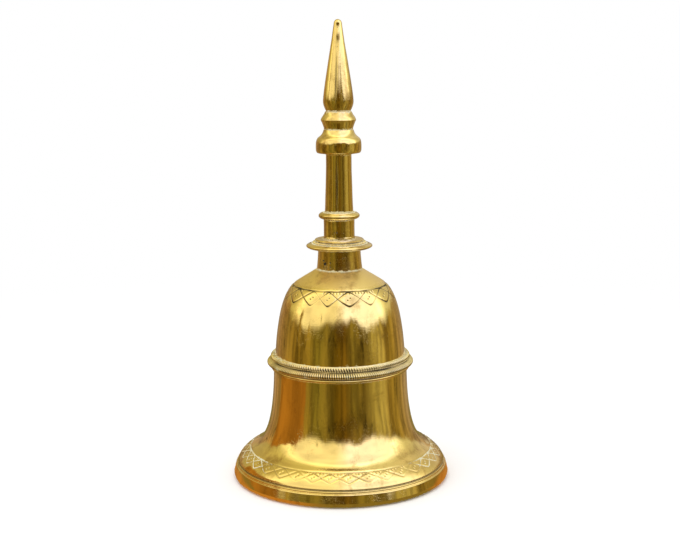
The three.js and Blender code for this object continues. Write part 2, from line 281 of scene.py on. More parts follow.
def bent_wire(name: str, path: list[Vector], radius: float) -> Piece:
    """Makes a round wire with closed ends.

    Args:
        name: The object's name.
        path: The points that the wire's middle follows.
        radius: The wire's radius.

    Returns:
        The wire as a mesh, in object mode.
    """
    wire = extruded_chain(name, path)
    bpy.ops.object.mode_set(mode="OBJECT")
    bpy.ops.object.convert(target="CURVE")
    wire = bpy.context.object
    wire.data.bevel_depth = radius
    wire.data.bevel_resolution = 5
    wire.data.use_fill_caps = True
    bpy.ops.object.convert(target="MESH")
    wire = bpy.context.object
    bpy.ops.object.mode_set(mode="EDIT")
    close_up()
    return wire


def divide_faces(piece: Piece, chosen: Callable[[Numbers, Numbers], Numbers], cuts: int) -> None:
    """Divides some of a piece's faces.

    Args:
        piece: The piece, which is the active object.
        chosen: Says, from the radius and height of the faces' centres, which to divide.
        cuts: How many cuts each edge of those faces gets.
    """
    mesh = piece.data
    centres = np.empty(len(mesh.polygons) * 3)
    mesh.polygons.foreach_get("center", centres)
    x, y, height = centres.reshape(-1, 3).T
    mask = chosen(np.hypot(x, y), height)
    bpy.ops.object.mode_set(mode="EDIT")
    bpy.ops.mesh.select_mode(type="FACE")
    bpy.ops.mesh.select_all(action="DESELECT")
    bpy.ops.object.mode_set(mode="OBJECT")
    mesh.polygons.foreach_set("select", mask)
    bpy.ops.object.mode_set(mode="EDIT")
    bpy.ops.mesh.subdivide(number_cuts=cuts, smoothness=1)
    bpy.ops.mesh.select_mode(type="VERT")
    bpy.ops.object.mode_set(mode="OBJECT")


@dataclass(frozen=True)
class Vertices:
    """Where a mesh's vertices are, as arrays: angle from the front, radius and height."""

    angle: np.ndarray
    radius: np.ndarray
    height: np.ndarray

    @classmethod
    def of(cls, piece: Piece) -> "Vertices":
        """Reads a piece's vertices; the front is -Y and the angle grows towards +X."""
        places = np.empty(len(piece.data.vertices) * 3)
        piece.data.vertices.foreach_get("co", places)
        x, y, z = places.reshape(-1, 3).T
        return cls(np.arctan2(x, -y), np.hypot(x, y), z)

    def near_circle(self, radius: float, height: float, reach: float) -> np.ndarray:
        """Returns how near each vertex is to a level circle: 1 on it, fading over reach."""
        return np.exp(-np.hypot(self.radius - radius, self.height - height) / reach)

    def in_crevices(self, *places: tuple[float, float, float, float]) -> np.ndarray:
        """Returns how near each vertex is to any level circle of (radius, height, reach, share)."""
        return np.max([share * self.near_circle(*circle) for *circle, share in places], axis=0)

    def near_spot(self, angle: float, height: float, width: float, tall: float) -> np.ndarray:
        """Returns how near each vertex is to a spot on the surface at an angle in degrees."""
        turn = np.angle(np.exp(1j * (self.angle - math.radians(angle)))) * self.radius
        return np.exp(-((turn / width) ** 2) - ((self.height - height) / tall) ** 2)


def keep_attribute(piece: Piece, name: str, values: np.ndarray) -> None:
    """Stores a number for each vertex, which the materials read by name."""
    layer = piece.data.attributes.get(name) or piece.data.attributes.new(name, "FLOAT", "POINT")
    layer.data.foreach_set("value", np.clip(values, 0, 1).astype(np.float32))


def activate(piece: Piece) -> None:
    """Selects one piece alone and makes it active."""
    bpy.ops.object.select_all(action="DESELECT")
    piece.select_set(True)
    bpy.context.view_layer.objects.active = piece


def displace(piece: Piece, depth: float, weights: np.ndarray, grain: float = 0) -> None:
    """Moves a piece's surface along its normals.

    Args:
        piece: The piece, which is the active object.
        depth: How far a full weight goes, and inwards where it is negative.
        weights: A weight from 0 to 1 for each vertex.
        grain: The size of soft clouds that vary the depth both ways, or 0 for an even depth.
    """
    group = piece.vertex_groups.new(name="cut")
    levels = np.round(np.clip(weights, 0, 1) * 100).astype(int)
    for level in np.unique(levels[levels > 0]):
        group.add(np.flatnonzero(levels == level).tolist(), float(level) / 100, "REPLACE")
    modifier = piece.modifiers.new("cut", "DISPLACE")
    modifier.vertex_group = group.name
    modifier.strength = depth
    modifier.mid_level = 0
    if grain:
        clouds = bpy.data.textures.new(piece.name + "_clouds", "CLOUDS")
        clouds.noise_scale = grain
        clouds.noise_depth = 2
        modifier.texture = clouds
        modifier.mid_level = 0.5
    activate(piece)
    bpy.ops.object.modifier_apply(modifier=modifier.name)
    piece.vertex_groups.clear()


class Body(Enum):
    """The bodies of the moving model."""

    BELL = "root"
    LINK = "link"
    CLAPPER = "clapper"


def finish_piece(piece: Piece, body: Body, material: bpy.types.Material,
                 smooth_below: float = SMOOTHING) -> None:
    """Smooths a piece, gives it its material and puts it in place of the CAD node of its name.

    Args:
        piece: The piece, named after its node with "_fine" added.
        body: The moving body that it rides on.
        material: Its material.
        smooth_below: The angle in degrees between faces above which an edge stays sharp.
    """
    activate(piece)
    bpy.ops.object.shade_smooth_by_angle(angle=math.radians(smooth_below))
    piece.data.materials.clear()
    piece.data.materials.append(material)
    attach(piece, body.value)
    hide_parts(piece.name.removesuffix("_fine"))
    log.info("%s: %d faces on body %s", piece.name, len(piece.data.polygons), body.value)


@dataclass(frozen=True)
class Seat:
    """Where a CAD node stands: its lowest and highest level and its widest radius."""

    low: float
    high: float
    radius: float

    @classmethod
    def of(cls, node: str) -> "Seat":
        """Reads a node's seat from the frame."""
        low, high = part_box(node)
        return cls(low.z, high.z, high.x)

    @property
    def height(self) -> float:
        """The distance from the lowest to the highest level."""
        return self.high - self.low

    def up(self, share: float) -> float:
        """Returns the level at a share of the height."""
        return self.low + share * self.height


# ---- Node trees ------------------------------------------------------------------------------


class NodeSheet:
    """A node tree filled in step by step; a step returns the socket that it puts out."""

    def __init__(self, tree: bpy.types.NodeTree) -> None:
        """Keeps the tree that the nodes go into."""
        self.tree = tree

    @classmethod
    def blank(cls, owner: bpy.types.Material | bpy.types.World) -> "NodeSheet":
        """Empties a new material's or world's node tree.

        Args:
            owner: The material or world.

        Returns:
            A sheet for its nodes.
        """
        owner.use_nodes = True
        owner.node_tree.nodes.clear()
        return cls(owner.node_tree)

    def feed(self, socket: Socket, value: Any) -> None:
        """Joins another socket to this one, or sets its own number, vector or colour.

        Args:
            socket: The input.
            value: The socket or the value that it gets.
        """
        if isinstance(value, bpy.types.NodeSocket):
            self.tree.links.new(value, socket)
        elif socket.type == "RGBA":
            socket.default_value = (*value, 1)
        else:
            socket.default_value = value

    def node(self, kind: str, inputs: dict[Any, Any] | None = None, **settings: Any) -> bpy.types.Node:
        """Adds a shader node.

        Args:
            kind: Its kind, such as TexNoise.
            inputs: What its inputs get, by name or by number.
            settings: Its own settings.

        Returns:
            The node.
        """
        node = self.tree.nodes.new("ShaderNode" + kind)
        for name, value in settings.items():
            setattr(node, name, value)
        for name, value in (inputs or {}).items():
            self.feed(node.inputs[name], value)
        return node

    def put(self, kind: str, *values: Any, **settings: Any) -> Socket:
        """Adds a node, feeds its inputs in their order and returns its first output."""
        return self.node(kind, dict(enumerate(values)), **settings).outputs[0]

    def math(self, operation: str, *values: Any, clamp: bool = False) -> Socket:
        """Adds a Math node."""
        return self.put("Math", *values, operation=operation, use_clamp=clamp)

    def total(self, *values: Any) -> Socket:
        """Adds numbers together."""
        return reduce(partial(self.math, "ADD"), values)

    def times(self, *values: Any) -> Socket:
        """Multiplies numbers together."""
        return reduce(partial(self.math, "MULTIPLY"), values)

    def most(self, *values: Any) -> Socket:
        """Takes the largest of some numbers."""
        return reduce(partial(self.math, "MAXIMUM"), values)

    def minus(self, first: Any, second: Any) -> Socket:
        """Takes the second number from the first."""
        return self.math("SUBTRACT", first, second)

    def off_axis(self, x: Socket, y: Socket, softening: float = 0) -> Socket:
        """Returns the distance from the vertical axis; softening is added to its square."""
        return self.math("SQRT", self.total(self.times(x, x), self.times(y, y), softening))

    def product(self, first: Any, second: Any) -> Socket:
        """Multiplies two vectors or colours, axis by axis."""
        return self.put("VectorMath", first, second, operation="MULTIPLY")

    def dimmed(self, colour: Socket, strength: Socket) -> Socket:
        """Multiplies a colour by a number."""
        return self.node("VectorMath", {0: colour, "Scale": strength}, operation="SCALE").outputs[0]

    def mix(self, share: Any, first: Any, second: Any) -> Socket:
        """Mixes two colours; a share of 1 gives the second."""
        return self.node("Mix", {0: share, 6: first, 7: second}, data_type="RGBA").outputs[2]

    def between(self, share: Any, first: Any, second: Any) -> Socket:
        """Mixes two numbers; a share of 1 gives the second."""
        return self.node("Mix", {0: share, 2: first, 3: second}, data_type="FLOAT").outputs[0]

    def blend(self, share: Any, first: Socket, second: Socket) -> Socket:
        """Mixes two shaders; a share of 1 gives the second."""
        return self.put("MixShader", share, first, second)

    def span(self, value: Any, low: Any, high: Any, to_low: float = 0, to_high: float = 1) -> Socket:
        """Maps a range of values smoothly onto another range."""
        return self.put("MapRange", value, low, high, to_low, to_high, interpolation_type="SMOOTHSTEP")

    def noise(self, vector: Socket, scale: Any, detail: float = 2, roughness: float = 0.5,
              distortion: float = 0) -> Socket:
        """Adds a noise texture, whose value is about 0.5 on average."""
        values = {"Vector": vector, "Scale": scale, "Detail": detail, "Roughness": roughness,
                  "Distortion": distortion}
        return self.node("TexNoise", values).outputs[0]

    def swell(self, *noise: Any) -> Socket:
        """Adds a noise texture whose value is about 0 on average."""
        return self.minus(self.noise(*noise), 0.5)

    def ramp(self, share: Any, stops: Stops) -> Socket:
        """Adds a colour ramp.

        Args:
            share: The place on the ramp, from 0 to 1.
            stops: The ramp's places and their colours.

        Returns:
            The colour at the place.
        """
        node = self.node("ValToRGB", {0: share})
        elements = node.color_ramp.elements
        for i, (place, colour) in enumerate(stops):
            stop = elements[i] if i < 2 else elements.new(place)
            stop.position = place
            stop.color = (*colour, 1)
        return node.outputs[0]

    def attribute(self, name: str) -> Socket:
        """Reads a number that the mesh keeps for each vertex."""
        return self.node("Attribute", attribute_name=name).outputs["Fac"]

    def object_place(self) -> Socket:
        """Returns the place on the object in metres."""
        return self.node("TexCoord").outputs["Object"]

    def parts(self, vector: Socket) -> tuple[Socket, ...]:
        """Splits a vector into x, y and z."""
        return tuple(self.node("SeparateXYZ", {0: vector}).outputs)

    def joined(self, x: Any, y: Any, z: Any) -> Socket:
        """Makes a vector of three numbers."""
        return self.put("CombineXYZ", x, y, z)

    def bumped(self, height: Socket) -> Socket:
        """Turns a height in millimetres into the surface's normal."""
        return self.node("Bump", {"Strength": 1, "Distance": MILLIMETRE, "Height": height}).outputs[0]

    def effect(self, group: bpy.types.NodeTree, **values: Any) -> bpy.types.Node:
        """Places a shared effect with its own values and returns its node."""
        return self.node("Group", values, node_tree=group)


Filling = Callable[[NodeSheet, dict[str, Socket]], dict[str, Socket]]


def make_effect(name: str, inputs: dict[str, float], outputs: list[str],
                fill: Filling) -> bpy.types.NodeTree:
    """Builds a node group whose sockets are all numbers.

    Args:
        name: The group's name.
        inputs: The input sockets and their usual values.
        outputs: The output sockets.
        fill: Adds the nodes, given the inputs, and returns the socket for each output.

    Returns:
        The group.
    """
    tree = bpy.data.node_groups.new(name, "ShaderNodeTree")
    for label, value in inputs.items():
        socket = tree.interface.new_socket(label, in_out="INPUT", socket_type="NodeSocketFloat")
        socket.default_value = value
    for label in outputs:
        tree.interface.new_socket(label, in_out="OUTPUT", socket_type="NodeSocketFloat")
    given = tree.nodes.new("NodeGroupInput")
    results = fill(NodeSheet(tree), {label: given.outputs[label] for label in inputs})
    result_node = tree.nodes.new("NodeGroupOutput")
    for label, socket in results.items():
        tree.links.new(socket, result_node.inputs[label])
    return tree


def fill_relief(sheet: NodeSheet, given: dict[str, Socket]) -> dict[str, Socket]:
    """Makes soft hand-worked unevenness with fine grain.

    Args:
        sheet: The group's nodes.
        given: Broad and Fine, the heights of the two in millimetres.

    Returns:
        Height in millimetres.
    """
    place = sheet.object_place()
    soft = sheet.total(sheet.swell(place, 70, 1.5), sheet.times(sheet.swell(place, 320, 2), 0.24))
    fine = sheet.swell(place, 2600, 3, 0.6)
    return {"Height": sheet.total(sheet.times(soft, given["Broad"]), sheet.times(fine, given["Fine"]))}


def fill_turning(sheet: NodeSheet, given: dict[str, Socket]) -> dict[str, Socket]:
    """Makes the fine rings left by the lathe.

    Args:
        sheet: The group's nodes.
        given: Rings, how close they lie, and Depth in millimetres.

    Returns:
        Height in millimetres.
    """
    x, y, z = sheet.parts(sheet.object_place())
    along = sheet.total(z, sheet.times(sheet.off_axis(x, y), 0.8))
    place = sheet.joined(sheet.times(x, 45), sheet.times(y, 45), sheet.times(along, given["Rings"]))
    return {"Height": sheet.times(sheet.swell(place, 1, 2, 0.65), given["Depth"])}


def fill_film(sheet: NodeSheet, given: dict[str, Socket]) -> dict[str, Socket]:
    """Makes patches of tarnish, with streaks that run down the metal, and a rarer coppery blush.

    Args:
        sheet: The group's nodes.
        given: Coverage, from bare to nearly covered.

    Returns:
        Mask of the tarnish and Blush.
    """
    place = sheet.object_place()
    cloud = sheet.noise(place, 55, 4, 0.6, 0.6)
    streaks = sheet.noise(sheet.product(place, (260, 260, 22)), 1, 3, 0.6)
    speckle = sheet.noise(place, 900, 3, 0.7)
    level = sheet.total(sheet.times(cloud, 0.55), sheet.times(streaks, 0.3), sheet.times(speckle, 0.15))
    start = sheet.minus(0.62, sheet.times(given["Coverage"], 0.3))
    blush = sheet.span(sheet.noise(place, 38, 3, 0.55, 0.4), 0.55, 0.72)
    return {"Mask": sheet.span(level, start, sheet.total(start, 0.16)), "Blush": blush}


def fill_scratches(sheet: NodeSheet, given: dict[str, Socket]) -> dict[str, Socket]:
    """Makes long hair-thin scratches in three directions, broken into short stretches.

    Args:
        sheet: The group's nodes.
        given: Amount, how strong they are.

    Returns:
        Mask of the scratches.
    """
    place = sheet.object_place()
    lines = []
    for angle, scale in ((0.35, 90), (-0.6, 120), (1.2, 75)):
        turn = sheet.node("VectorRotate", {"Vector": place, "Rotation": (angle, 0.5 * angle, 0.7 * angle)},
                          rotation_type="EULER_XYZ").outputs[0]
        off = sheet.math("ABSOLUTE", sheet.swell(sheet.product(turn, (9, 9, 1)), scale, 1, 0.5))
        gaps = sheet.span(sheet.noise(turn, 2.2 * scale, 1), 0.52, 0.62)
        lines.append(sheet.times(sheet.span(off, 0, 0.012, 1, 0), gaps))
    return {"Mask": sheet.math("MULTIPLY", sheet.most(*lines), given["Amount"], clamp=True)}


def fill_deposit(sheet: NodeSheet, given: dict[str, Socket]) -> dict[str, Socket]:
    """Makes dried polish that fills crevices with a ragged edge.

    Args:
        sheet: The group's nodes.
        given: Crevice, from 0 to 1, and Amount, how much of it shows.

    Returns:
        Mask of the polish, and its Height as a share of its full thickness.
    """
    place = sheet.object_place()
    ragged = sheet.total(sheet.times(sheet.noise(place, 420, 3, 0.6), 0.6),
                         sheet.times(sheet.noise(place, 1700, 3, 0.7), 0.4))
    level = sheet.total(given["Crevice"], sheet.times(sheet.minus(ragged, 0.5), 1.5))
    mask = sheet.times(sheet.span(level, 0.42, 0.78), sheet.span(given["Crevice"], 0.03, 0.2))
    return {"Mask": sheet.math("MULTIPLY", mask, given["Amount"], clamp=True), "Height": mask}


def fill_pits(sheet: NodeSheet, given: dict[str, Socket]) -> dict[str, Socket]:
    """Makes small round casting pits.

    Args:
        sheet: The group's nodes.
        given: Pitted, which is high where they lie thick.

    Returns:
        Mask of the pits.
    """
    place = sheet.object_place()
    cells = sheet.node("TexVoronoi", {"Vector": place, "Scale": 1100})
    shade = sheet.parts(cells.outputs["Color"])[0]
    size = sheet.times(sheet.minus(sheet.total(shade, given["Pitted"]), 0.96), 0.9)
    edge = sheet.total(cells.outputs["Distance"], sheet.times(sheet.noise(place, 1500, 2), 0.3))
    return {"Mask": sheet.span(sheet.minus(size, edge), -0.22, -0.08)}


@dataclass(frozen=True)
class Effects:
    """The effects that the materials share."""

    relief: bpy.types.NodeTree
    turning: bpy.types.NodeTree
    film: bpy.types.NodeTree
    scratches: bpy.types.NodeTree
    deposit: bpy.types.NodeTree
    pits: bpy.types.NodeTree

    @classmethod
    def build(cls) -> "Effects":
        """Makes each effect once."""
        crevice = {"Crevice": 0, "Amount": 1}
        return cls(
            relief=make_effect("worked_relief", {"Broad": 0.05, "Fine": 0.002}, ["Height"], fill_relief),
            turning=make_effect("turning_rings", {"Rings": 4000, "Depth": 0.003}, ["Height"], fill_turning),
            film=make_effect("tarnish_film", {"Coverage": 0.4}, ["Mask", "Blush"], fill_film),
            scratches=make_effect("hair_scratches", {"Amount": 0.5}, ["Mask"], fill_scratches),
            deposit=make_effect("dried_polish", crevice, ["Mask", "Height"], fill_deposit),
            pits=make_effect("casting_pits", {"Pitted": 0}, ["Mask"], fill_pits),
        )


# ---- Finishes --------------------------------------------------------------------------------


@dataclass(frozen=True)
class BrassFinish:
    """Old brass, polished over and over, with tarnish, dried polish in its crevices and pits.

    Brass that shows mirrored in other brass is painted paler than it is to the eye, a painted reflection
    tint. Heights and depths are in millimetres.
    """

    name: str
    clean: Colour = (0.90, 0.63, 0.20)
    tarnished: Colour = (0.55, 0.34, 0.09)
    coppery: Colour = (0.86, 0.47, 0.17)
    residue: Colour = (0.76, 0.73, 0.50)
    # Dark grime together with painted shade, laid in cuts, grooves, seams, flutes and pits.
    grime_and_shade: Colour = (0.035, 0.026, 0.012)
    casting: Colour = (0.26, 0.16, 0.06)
    # Painted reflection: the colour of brass seen mirrored in other brass.
    mirrored: Colour = (0.98, 0.95, 0.84)
    painted_reflection_share: float = 0.9
    polish: float = 0.055
    dullness: float = 0.2
    film: float = 0.4
    blush: float = 0.3
    unevenness: float = 0.075
    grain: float = 0.005
    ring_depth: float = 0.006
    scratching: float = 0.8
    scratch_depth: float = -0.006
    scratch_dullness: float = 0.2
    pit_depth: float = -0.05
    crust: float = 0.012
    residue_share: float = 0.9
    grime_and_shade_share: float = 0.94
    rough_roughness: float = 0.8
    casting_relief: float = 0.12
    satin: float = 0.3
    smear: float = 0.4

    def build(self, effects: Effects) -> bpy.types.Material:
        """Makes the material.

        Args:
            effects: The shared effects.

        Returns:
            The material, which reads the pieces' engraved, crevice, pitted, satin and casting values.
        """
        material = bpy.data.materials.new(self.name)
        sheet = NodeSheet.blank(material)
        engraved, crevice, casting = (sheet.attribute(name) for name in ("engraved", "crevice", "casting"))
        relief = sheet.effect(effects.relief, Broad=self.unevenness, Fine=self.grain).outputs["Height"]
        turning = sheet.effect(effects.turning, Depth=self.ring_depth).outputs["Height"]
        film = sheet.effect(effects.film, Coverage=self.film)
        scratches = sheet.effect(effects.scratches, Amount=self.scratching).outputs["Mask"]
        pits = sheet.effect(effects.pits, Pitted=sheet.attribute("pitted")).outputs["Mask"]
        deposit = sheet.effect(effects.deposit, Crevice=crevice, Amount=self.residue_share)
        polish_left = deposit.outputs["Mask"]

        colour = sheet.mix(film.outputs["Mask"], self.clean, self.tarnished)
        colour = sheet.mix(sheet.times(film.outputs["Blush"], self.blush), colour, self.coppery)
        colour = sheet.mix(casting, colour, self.casting)
        # Grime and painted shade: the engraved value darkens cuts, grooves, seams and flutes.
        colour = sheet.mix(sheet.span(engraved, 0.15, 0.8, 0, self.grime_and_shade_share), colour, self.grime_and_shade)
        colour = sheet.mix(polish_left, colour, self.residue)
        # Grime and painted shade: pits are darkened.
        colour = sheet.mix(pits, colour, self.grime_and_shade)
        # Painted reflection: brass seen mirrored in other brass is painted paler.
        mirrored = sheet.times(sheet.node("LightPath").outputs["Is Glossy Ray"], self.painted_reflection_share)
        colour = sheet.mix(mirrored, colour, self.mirrored)

        roughness = sheet.between(film.outputs["Mask"], self.polish, self.dullness)
        roughness = sheet.total(roughness, sheet.times(scratches, self.scratch_dullness))
        dull = sheet.most(polish_left, pits, casting, sheet.times(engraved, 0.8))
        roughness = sheet.between(dull, roughness, self.rough_roughness)
        roughness = sheet.total(roughness, sheet.times(sheet.attribute("satin"), self.satin))
        metallic = sheet.minus(1, sheet.most(polish_left, sheet.times(pits, 0.6)))

        rough_skin = sheet.times(casting, sheet.noise(sheet.object_place(), 900, 4, 0.65))
        height = sheet.total(
            relief,
            turning,
            sheet.times(scratches, self.scratch_depth),
            sheet.times(pits, self.pit_depth),
            sheet.times(deposit.outputs["Height"], self.crust),
            sheet.times(rough_skin, self.casting_relief),
        )
        shader = sheet.node("BsdfPrincipled", {
            "Base Color": colour,
            "Roughness": roughness,
            "Metallic": metallic,
            "Normal": sheet.bumped(height),
            "Anisotropic": self.smear,
        })
        sheet.node("OutputMaterial", {"Surface": shader.outputs[0]})
        return material


@dataclass(frozen=True)
class IronFinish:
    """Dark forged iron with a dry skin of rust."""

    name: str
    iron: Colour = (0.11, 0.10, 0.09)
    rust: Colour = (0.20, 0.085, 0.035)
    rusting: float = 0.45
    rust_height: float = 0.02

    def build(self, effects: Effects) -> bpy.types.Material:
        """Makes the material.

        Args:
            effects: The shared effects.

        Returns:
            The material.
        """
        material = bpy.data.materials.new(self.name)
        sheet = NodeSheet.blank(material)
        relief = sheet.effect(effects.relief, Broad=0.05, Fine=0.012).outputs["Height"]
        film = sheet.effect(effects.film, Coverage=self.rusting).outputs["Mask"]
        speckle = sheet.noise(sheet.object_place(), 1400, 4, 0.7)
        rusty = sheet.math("MULTIPLY", film, sheet.span(speckle, 0.35, 0.6), clamp=True)
        shader = sheet.node("BsdfPrincipled", {
            "Base Color": sheet.mix(rusty, self.iron, self.rust),
            "Roughness": sheet.between(rusty, 0.42, 0.85),
            "Metallic": sheet.between(rusty, 0.95, 0.15),
            "Normal": sheet.bumped(sheet.total(relief, sheet.times(rusty, self.rust_height))),
        })
        sheet.node("OutputMaterial", {"Surface": shader.outputs[0]})
        return material


@dataclass(frozen=True)
class Palette:
    """The bell's materials."""

    body: bpy.types.Material
    handle: bpy.types.Material
    band: bpy.types.Material
    cast: bpy.types.Material
    iron: bpy.types.Material

    @classmethod
    def build(cls) -> "Palette":
        """Makes the shared effects and every material."""
        handle = BrassFinish("handle_brass", film=0.5, unevenness=0.045, ring_depth=0.003)
        band = BrassFinish("band_brass", clean=(0.88, 0.66, 0.27), tarnished=(0.60, 0.43, 0.15),
                           residue=(0.62, 0.64, 0.43), polish=0.16, dullness=0.3, ring_depth=0, smear=0)
        cast = BrassFinish("cast_brass", clean=(0.60, 0.39, 0.13), tarnished=(0.26, 0.15, 0.05), film=0.9,
                           polish=0.38, dullness=0.62, grain=0.02, ring_depth=0, smear=0)
        finishes = (BrassFinish("body_brass"), handle, band, cast, IronFinish("forged_iron"))
        effects = Effects.build()
        return cls(*(finish.build(effects) for finish in finishes))


# ---- Sub-assemblies --------------------------------------------------------------------------

SPINDLE_BORE = 0.00265  # radius of the hole through every piece on the spindle


def groove(distance: np.ndarray, half_width: float) -> np.ndarray:
    """Returns a cut's depth from 0 to 1 at a distance from its middle."""
    return np.exp(-((distance / half_width) ** 2))


@dataclass(frozen=True)
class Interlace:
    """An incised line, and below it two wavy lines cut across each other, with dots and ticks."""

    waves: int
    top: float
    bottom: float
    half_width: float
    line_half_width: float
    ticks: int
    tick_length: float
    dot_radius: float = 0.0003
    dots: tuple[Point, ...] = ((-0.0005, 0.00045), (0.00045, -0.0004))

    @staticmethod
    def zigzag(phase: np.ndarray) -> np.ndarray:
        """Returns a wave of straight strokes with soft turns, from -1 to 1."""
        return np.arcsin(0.97 * np.sin(phase)) / math.asin(0.97)

    def cut(self, angle: np.ndarray, along: np.ndarray, radius: np.ndarray) -> np.ndarray:
        """Works out how deep the engraving is.

        Args:
            angle: Each vertex's angle round the bell, in radians.
            along: Its distance down the surface from the incised line.
            radius: Its distance from the axis.

        Returns:
            A depth from 0 to 1 for each vertex.
        """
        middle = (self.top + self.bottom) / 2
        swing = (self.bottom - self.top) / 2
        hand = 0.22 * np.sin(3 * angle + 1) + 0.16 * np.sin(7 * angle + 2.2)
        phase = self.waves * angle + hand
        pressure = 0.72 + 0.28 * np.sin(5 * angle + 0.6) * np.sin(11 * angle)
        depth = groove(along + 0.00006 * np.sin(23 * angle), self.line_half_width) * pressure
        slope = swing * self.waves * (2 / math.pi) / radius
        for side in (1, -1):
            line = middle + side * swing * self.zigzag(phase)
            stroke = groove((along - line) / np.hypot(1, slope), self.half_width)
            depth = np.maximum(depth, stroke * pressure)
        cell = np.round(phase / math.pi - 0.5)
        across = (phase - (cell + 0.5) * math.pi) / self.waves * radius
        for dot_across, dot_along in self.dots:
            distance = np.hypot(across - dot_across, along - middle - dot_along)
            depth = np.maximum(depth, groove(distance, self.dot_radius))
        pitch = FULL_TURN / self.ticks
        off_tick = np.abs(angle / pitch - np.round(angle / pitch)) * pitch * radius
        tick = groove(off_tick, 0.7 * self.half_width)
        kept = (np.sin(4 * angle + 0.8) > -0.55) & (along > 0.0001) & (along < self.tick_length)
        return np.maximum(depth, tick * kept * 0.8)


@dataclass
class BellBody:
    """The cast bell: plain lip, engraved flare, waist, seat for the band, dome and engraved shoulder."""

    lip_height: float = 0.00525
    lip_lean: float = 0.000875
    lip_round_inset: float = 0.00125
    lip_round_height: float = 0.00175
    lip_wall: float = 0.003125
    ridge_height: float = 0.001
    groove_height: float = 0.00075
    groove_depth: float = 0.0005
    groove_floor: float = 0.00022
    flare_radius: float = 0.0365
    flare_level: float = 0.01325
    waist_radius: float = 0.028
    ledge: float = 0.0005
    dome_step: float = 0.00025
    shoulder_radius: float = 0.0195
    shoulder_drop: float = 0.00625
    crown_land: float = 0.00025
    wall: float = 0.00275
    crown_wall: float = 0.00325
    crown_inner_radius: float = 0.008
    easing: float = 0.00035
    steps: int = 270
    skin: float = 0.0008
    wobble: float = 0.00016
    wobble_grain: float = 0.014
    engraving_depth: float = -0.00024
    flare_wear: float = 0.65
    flare_band: Point = (0.00705, 0.0129)
    shoulder_band: Point = (0.0754, 0.0824)
    flare_line: float = 0.0122
    shoulder_line: float = 0.0818
    flare_lace: Interlace = Interlace(17, 0.0004, 0.0048, 0.00025, 0.0003, 170, 0.0011)
    shoulder_lace: Interlace = Interlace(8, 0.0003, 0.0066, 0.00027, 0.00046, 96, 0.0015)
    seat: Seat = field(default_factory=lambda: Seat.of("bell_body"))
    band_low: float = field(default_factory=lambda: Seat.of("band_base_ring").low)
    band_high: float = field(default_factory=lambda: Seat.of("band_upper_ring").high)
    neck_radius: float = field(default_factory=lambda: Seat.of("neck_collar").radius)

    def outside(self) -> Outline:
        """Returns the outline from the foot of the lip up to the crown."""
        rim = self.seat.radius
        lip_top = rim - self.lip_lean
        ridge = lip_top - self.groove_depth
        groove_low = self.lip_height + self.ridge_height
        groove_top = groove_low + self.groove_height
        flare_edge = ridge - self.groove_depth
        run, rise = flare_edge - self.flare_radius, self.flare_level - groove_top
        drop = self.band_low - self.flare_level
        flank = self.flare_radius - self.waist_radius
        dome = self.waist_radius - self.ledge - self.dome_step
        shoulder = self.seat.high - self.shoulder_drop
        climb, narrowing = shoulder - self.band_high, dome - self.shoulder_radius
        crown = self.neck_radius + self.crown_land
        outline = Outline().to(
            (rim - self.lip_round_inset, 0),
            (rim - 0.3 * self.lip_round_inset, 0.35 * self.lip_round_height),
            (rim, self.lip_round_height),
            (lip_top, self.lip_height),
            (ridge - 0.0001, self.lip_height + 0.0001),
            (ridge + 0.0001, self.lip_height + 0.0005),
            (ridge, groove_low),
            (flare_edge - self.groove_floor, groove_low + 0.00015),
            (flare_edge - self.groove_floor, groove_top - 0.00015),
            (flare_edge, groove_top),
        )
        outline.bend((flare_edge - 0.15 * run, groove_top + 0.38 * rise),
                     (self.flare_radius + 0.45 * run, self.flare_level - 0.27 * rise),
                     (self.flare_radius, self.flare_level), 10)
        outline.bend((self.waist_radius + 0.24 * flank, self.flare_level + 0.09 * drop),
                     (self.waist_radius + 0.04 * flank, self.flare_level + 0.52 * drop),
                     (self.waist_radius, self.band_low), 16)
        band_seat = self.waist_radius - self.ledge
        outline.to((band_seat, self.band_low), (band_seat, self.band_high), (dome, self.band_high))
        outline.bend((dome - 0.12 * narrowing, self.band_high + 0.48 * climb),
                     (self.shoulder_radius + 0.6 * narrowing, shoulder - 0.15 * climb),
                     (self.shoulder_radius, shoulder), 18)
        slope = self.shoulder_radius - crown
        outline.bend((self.shoulder_radius - 0.3 * slope, shoulder + 0.35 * self.shoulder_drop),
                     (crown + 0.3 * slope, shoulder + 0.68 * self.shoulder_drop),
                     (crown, self.seat.high), 10)
        return outline

    def inside(self) -> Outline:
        """Returns the outline from the spindle's hole down the inner wall to the rim."""
        inner_crown = self.seat.high - self.crown_wall
        dome = self.waist_radius - self.ledge - self.dome_step
        climb = self.seat.high - self.shoulder_drop - self.band_high
        drop = self.band_low - self.flare_level
        across, down = polar(55, self.wall)
        flare, level = self.flare_radius - across, self.flare_level - down
        rim = self.seat.radius - self.lip_round_inset - self.lip_wall
        outline = Outline().to((SPINDLE_BORE, self.seat.high), (SPINDLE_BORE, inner_crown),
                               (self.crown_inner_radius, inner_crown))
        outline.bend((self.shoulder_radius - self.wall - 0.001, inner_crown - 0.1 * climb),
                     (dome - self.wall - 0.0005, self.band_high + 0.55 * climb),
                     (dome - self.wall, self.band_high), 10)
        outline.to((self.waist_radius - self.wall, self.band_low))
        outline.bend((self.waist_radius - self.wall, self.flare_level + 0.48 * drop),
                     (self.waist_radius - 0.5 * self.wall, self.flare_level - 0.02 * drop),
                     (flare, level), 9)
        outline.bend((flare + 0.5 * (rim - flare), 0.85 * level), (rim, 0.45 * level), (rim, 0), 6)
        return outline

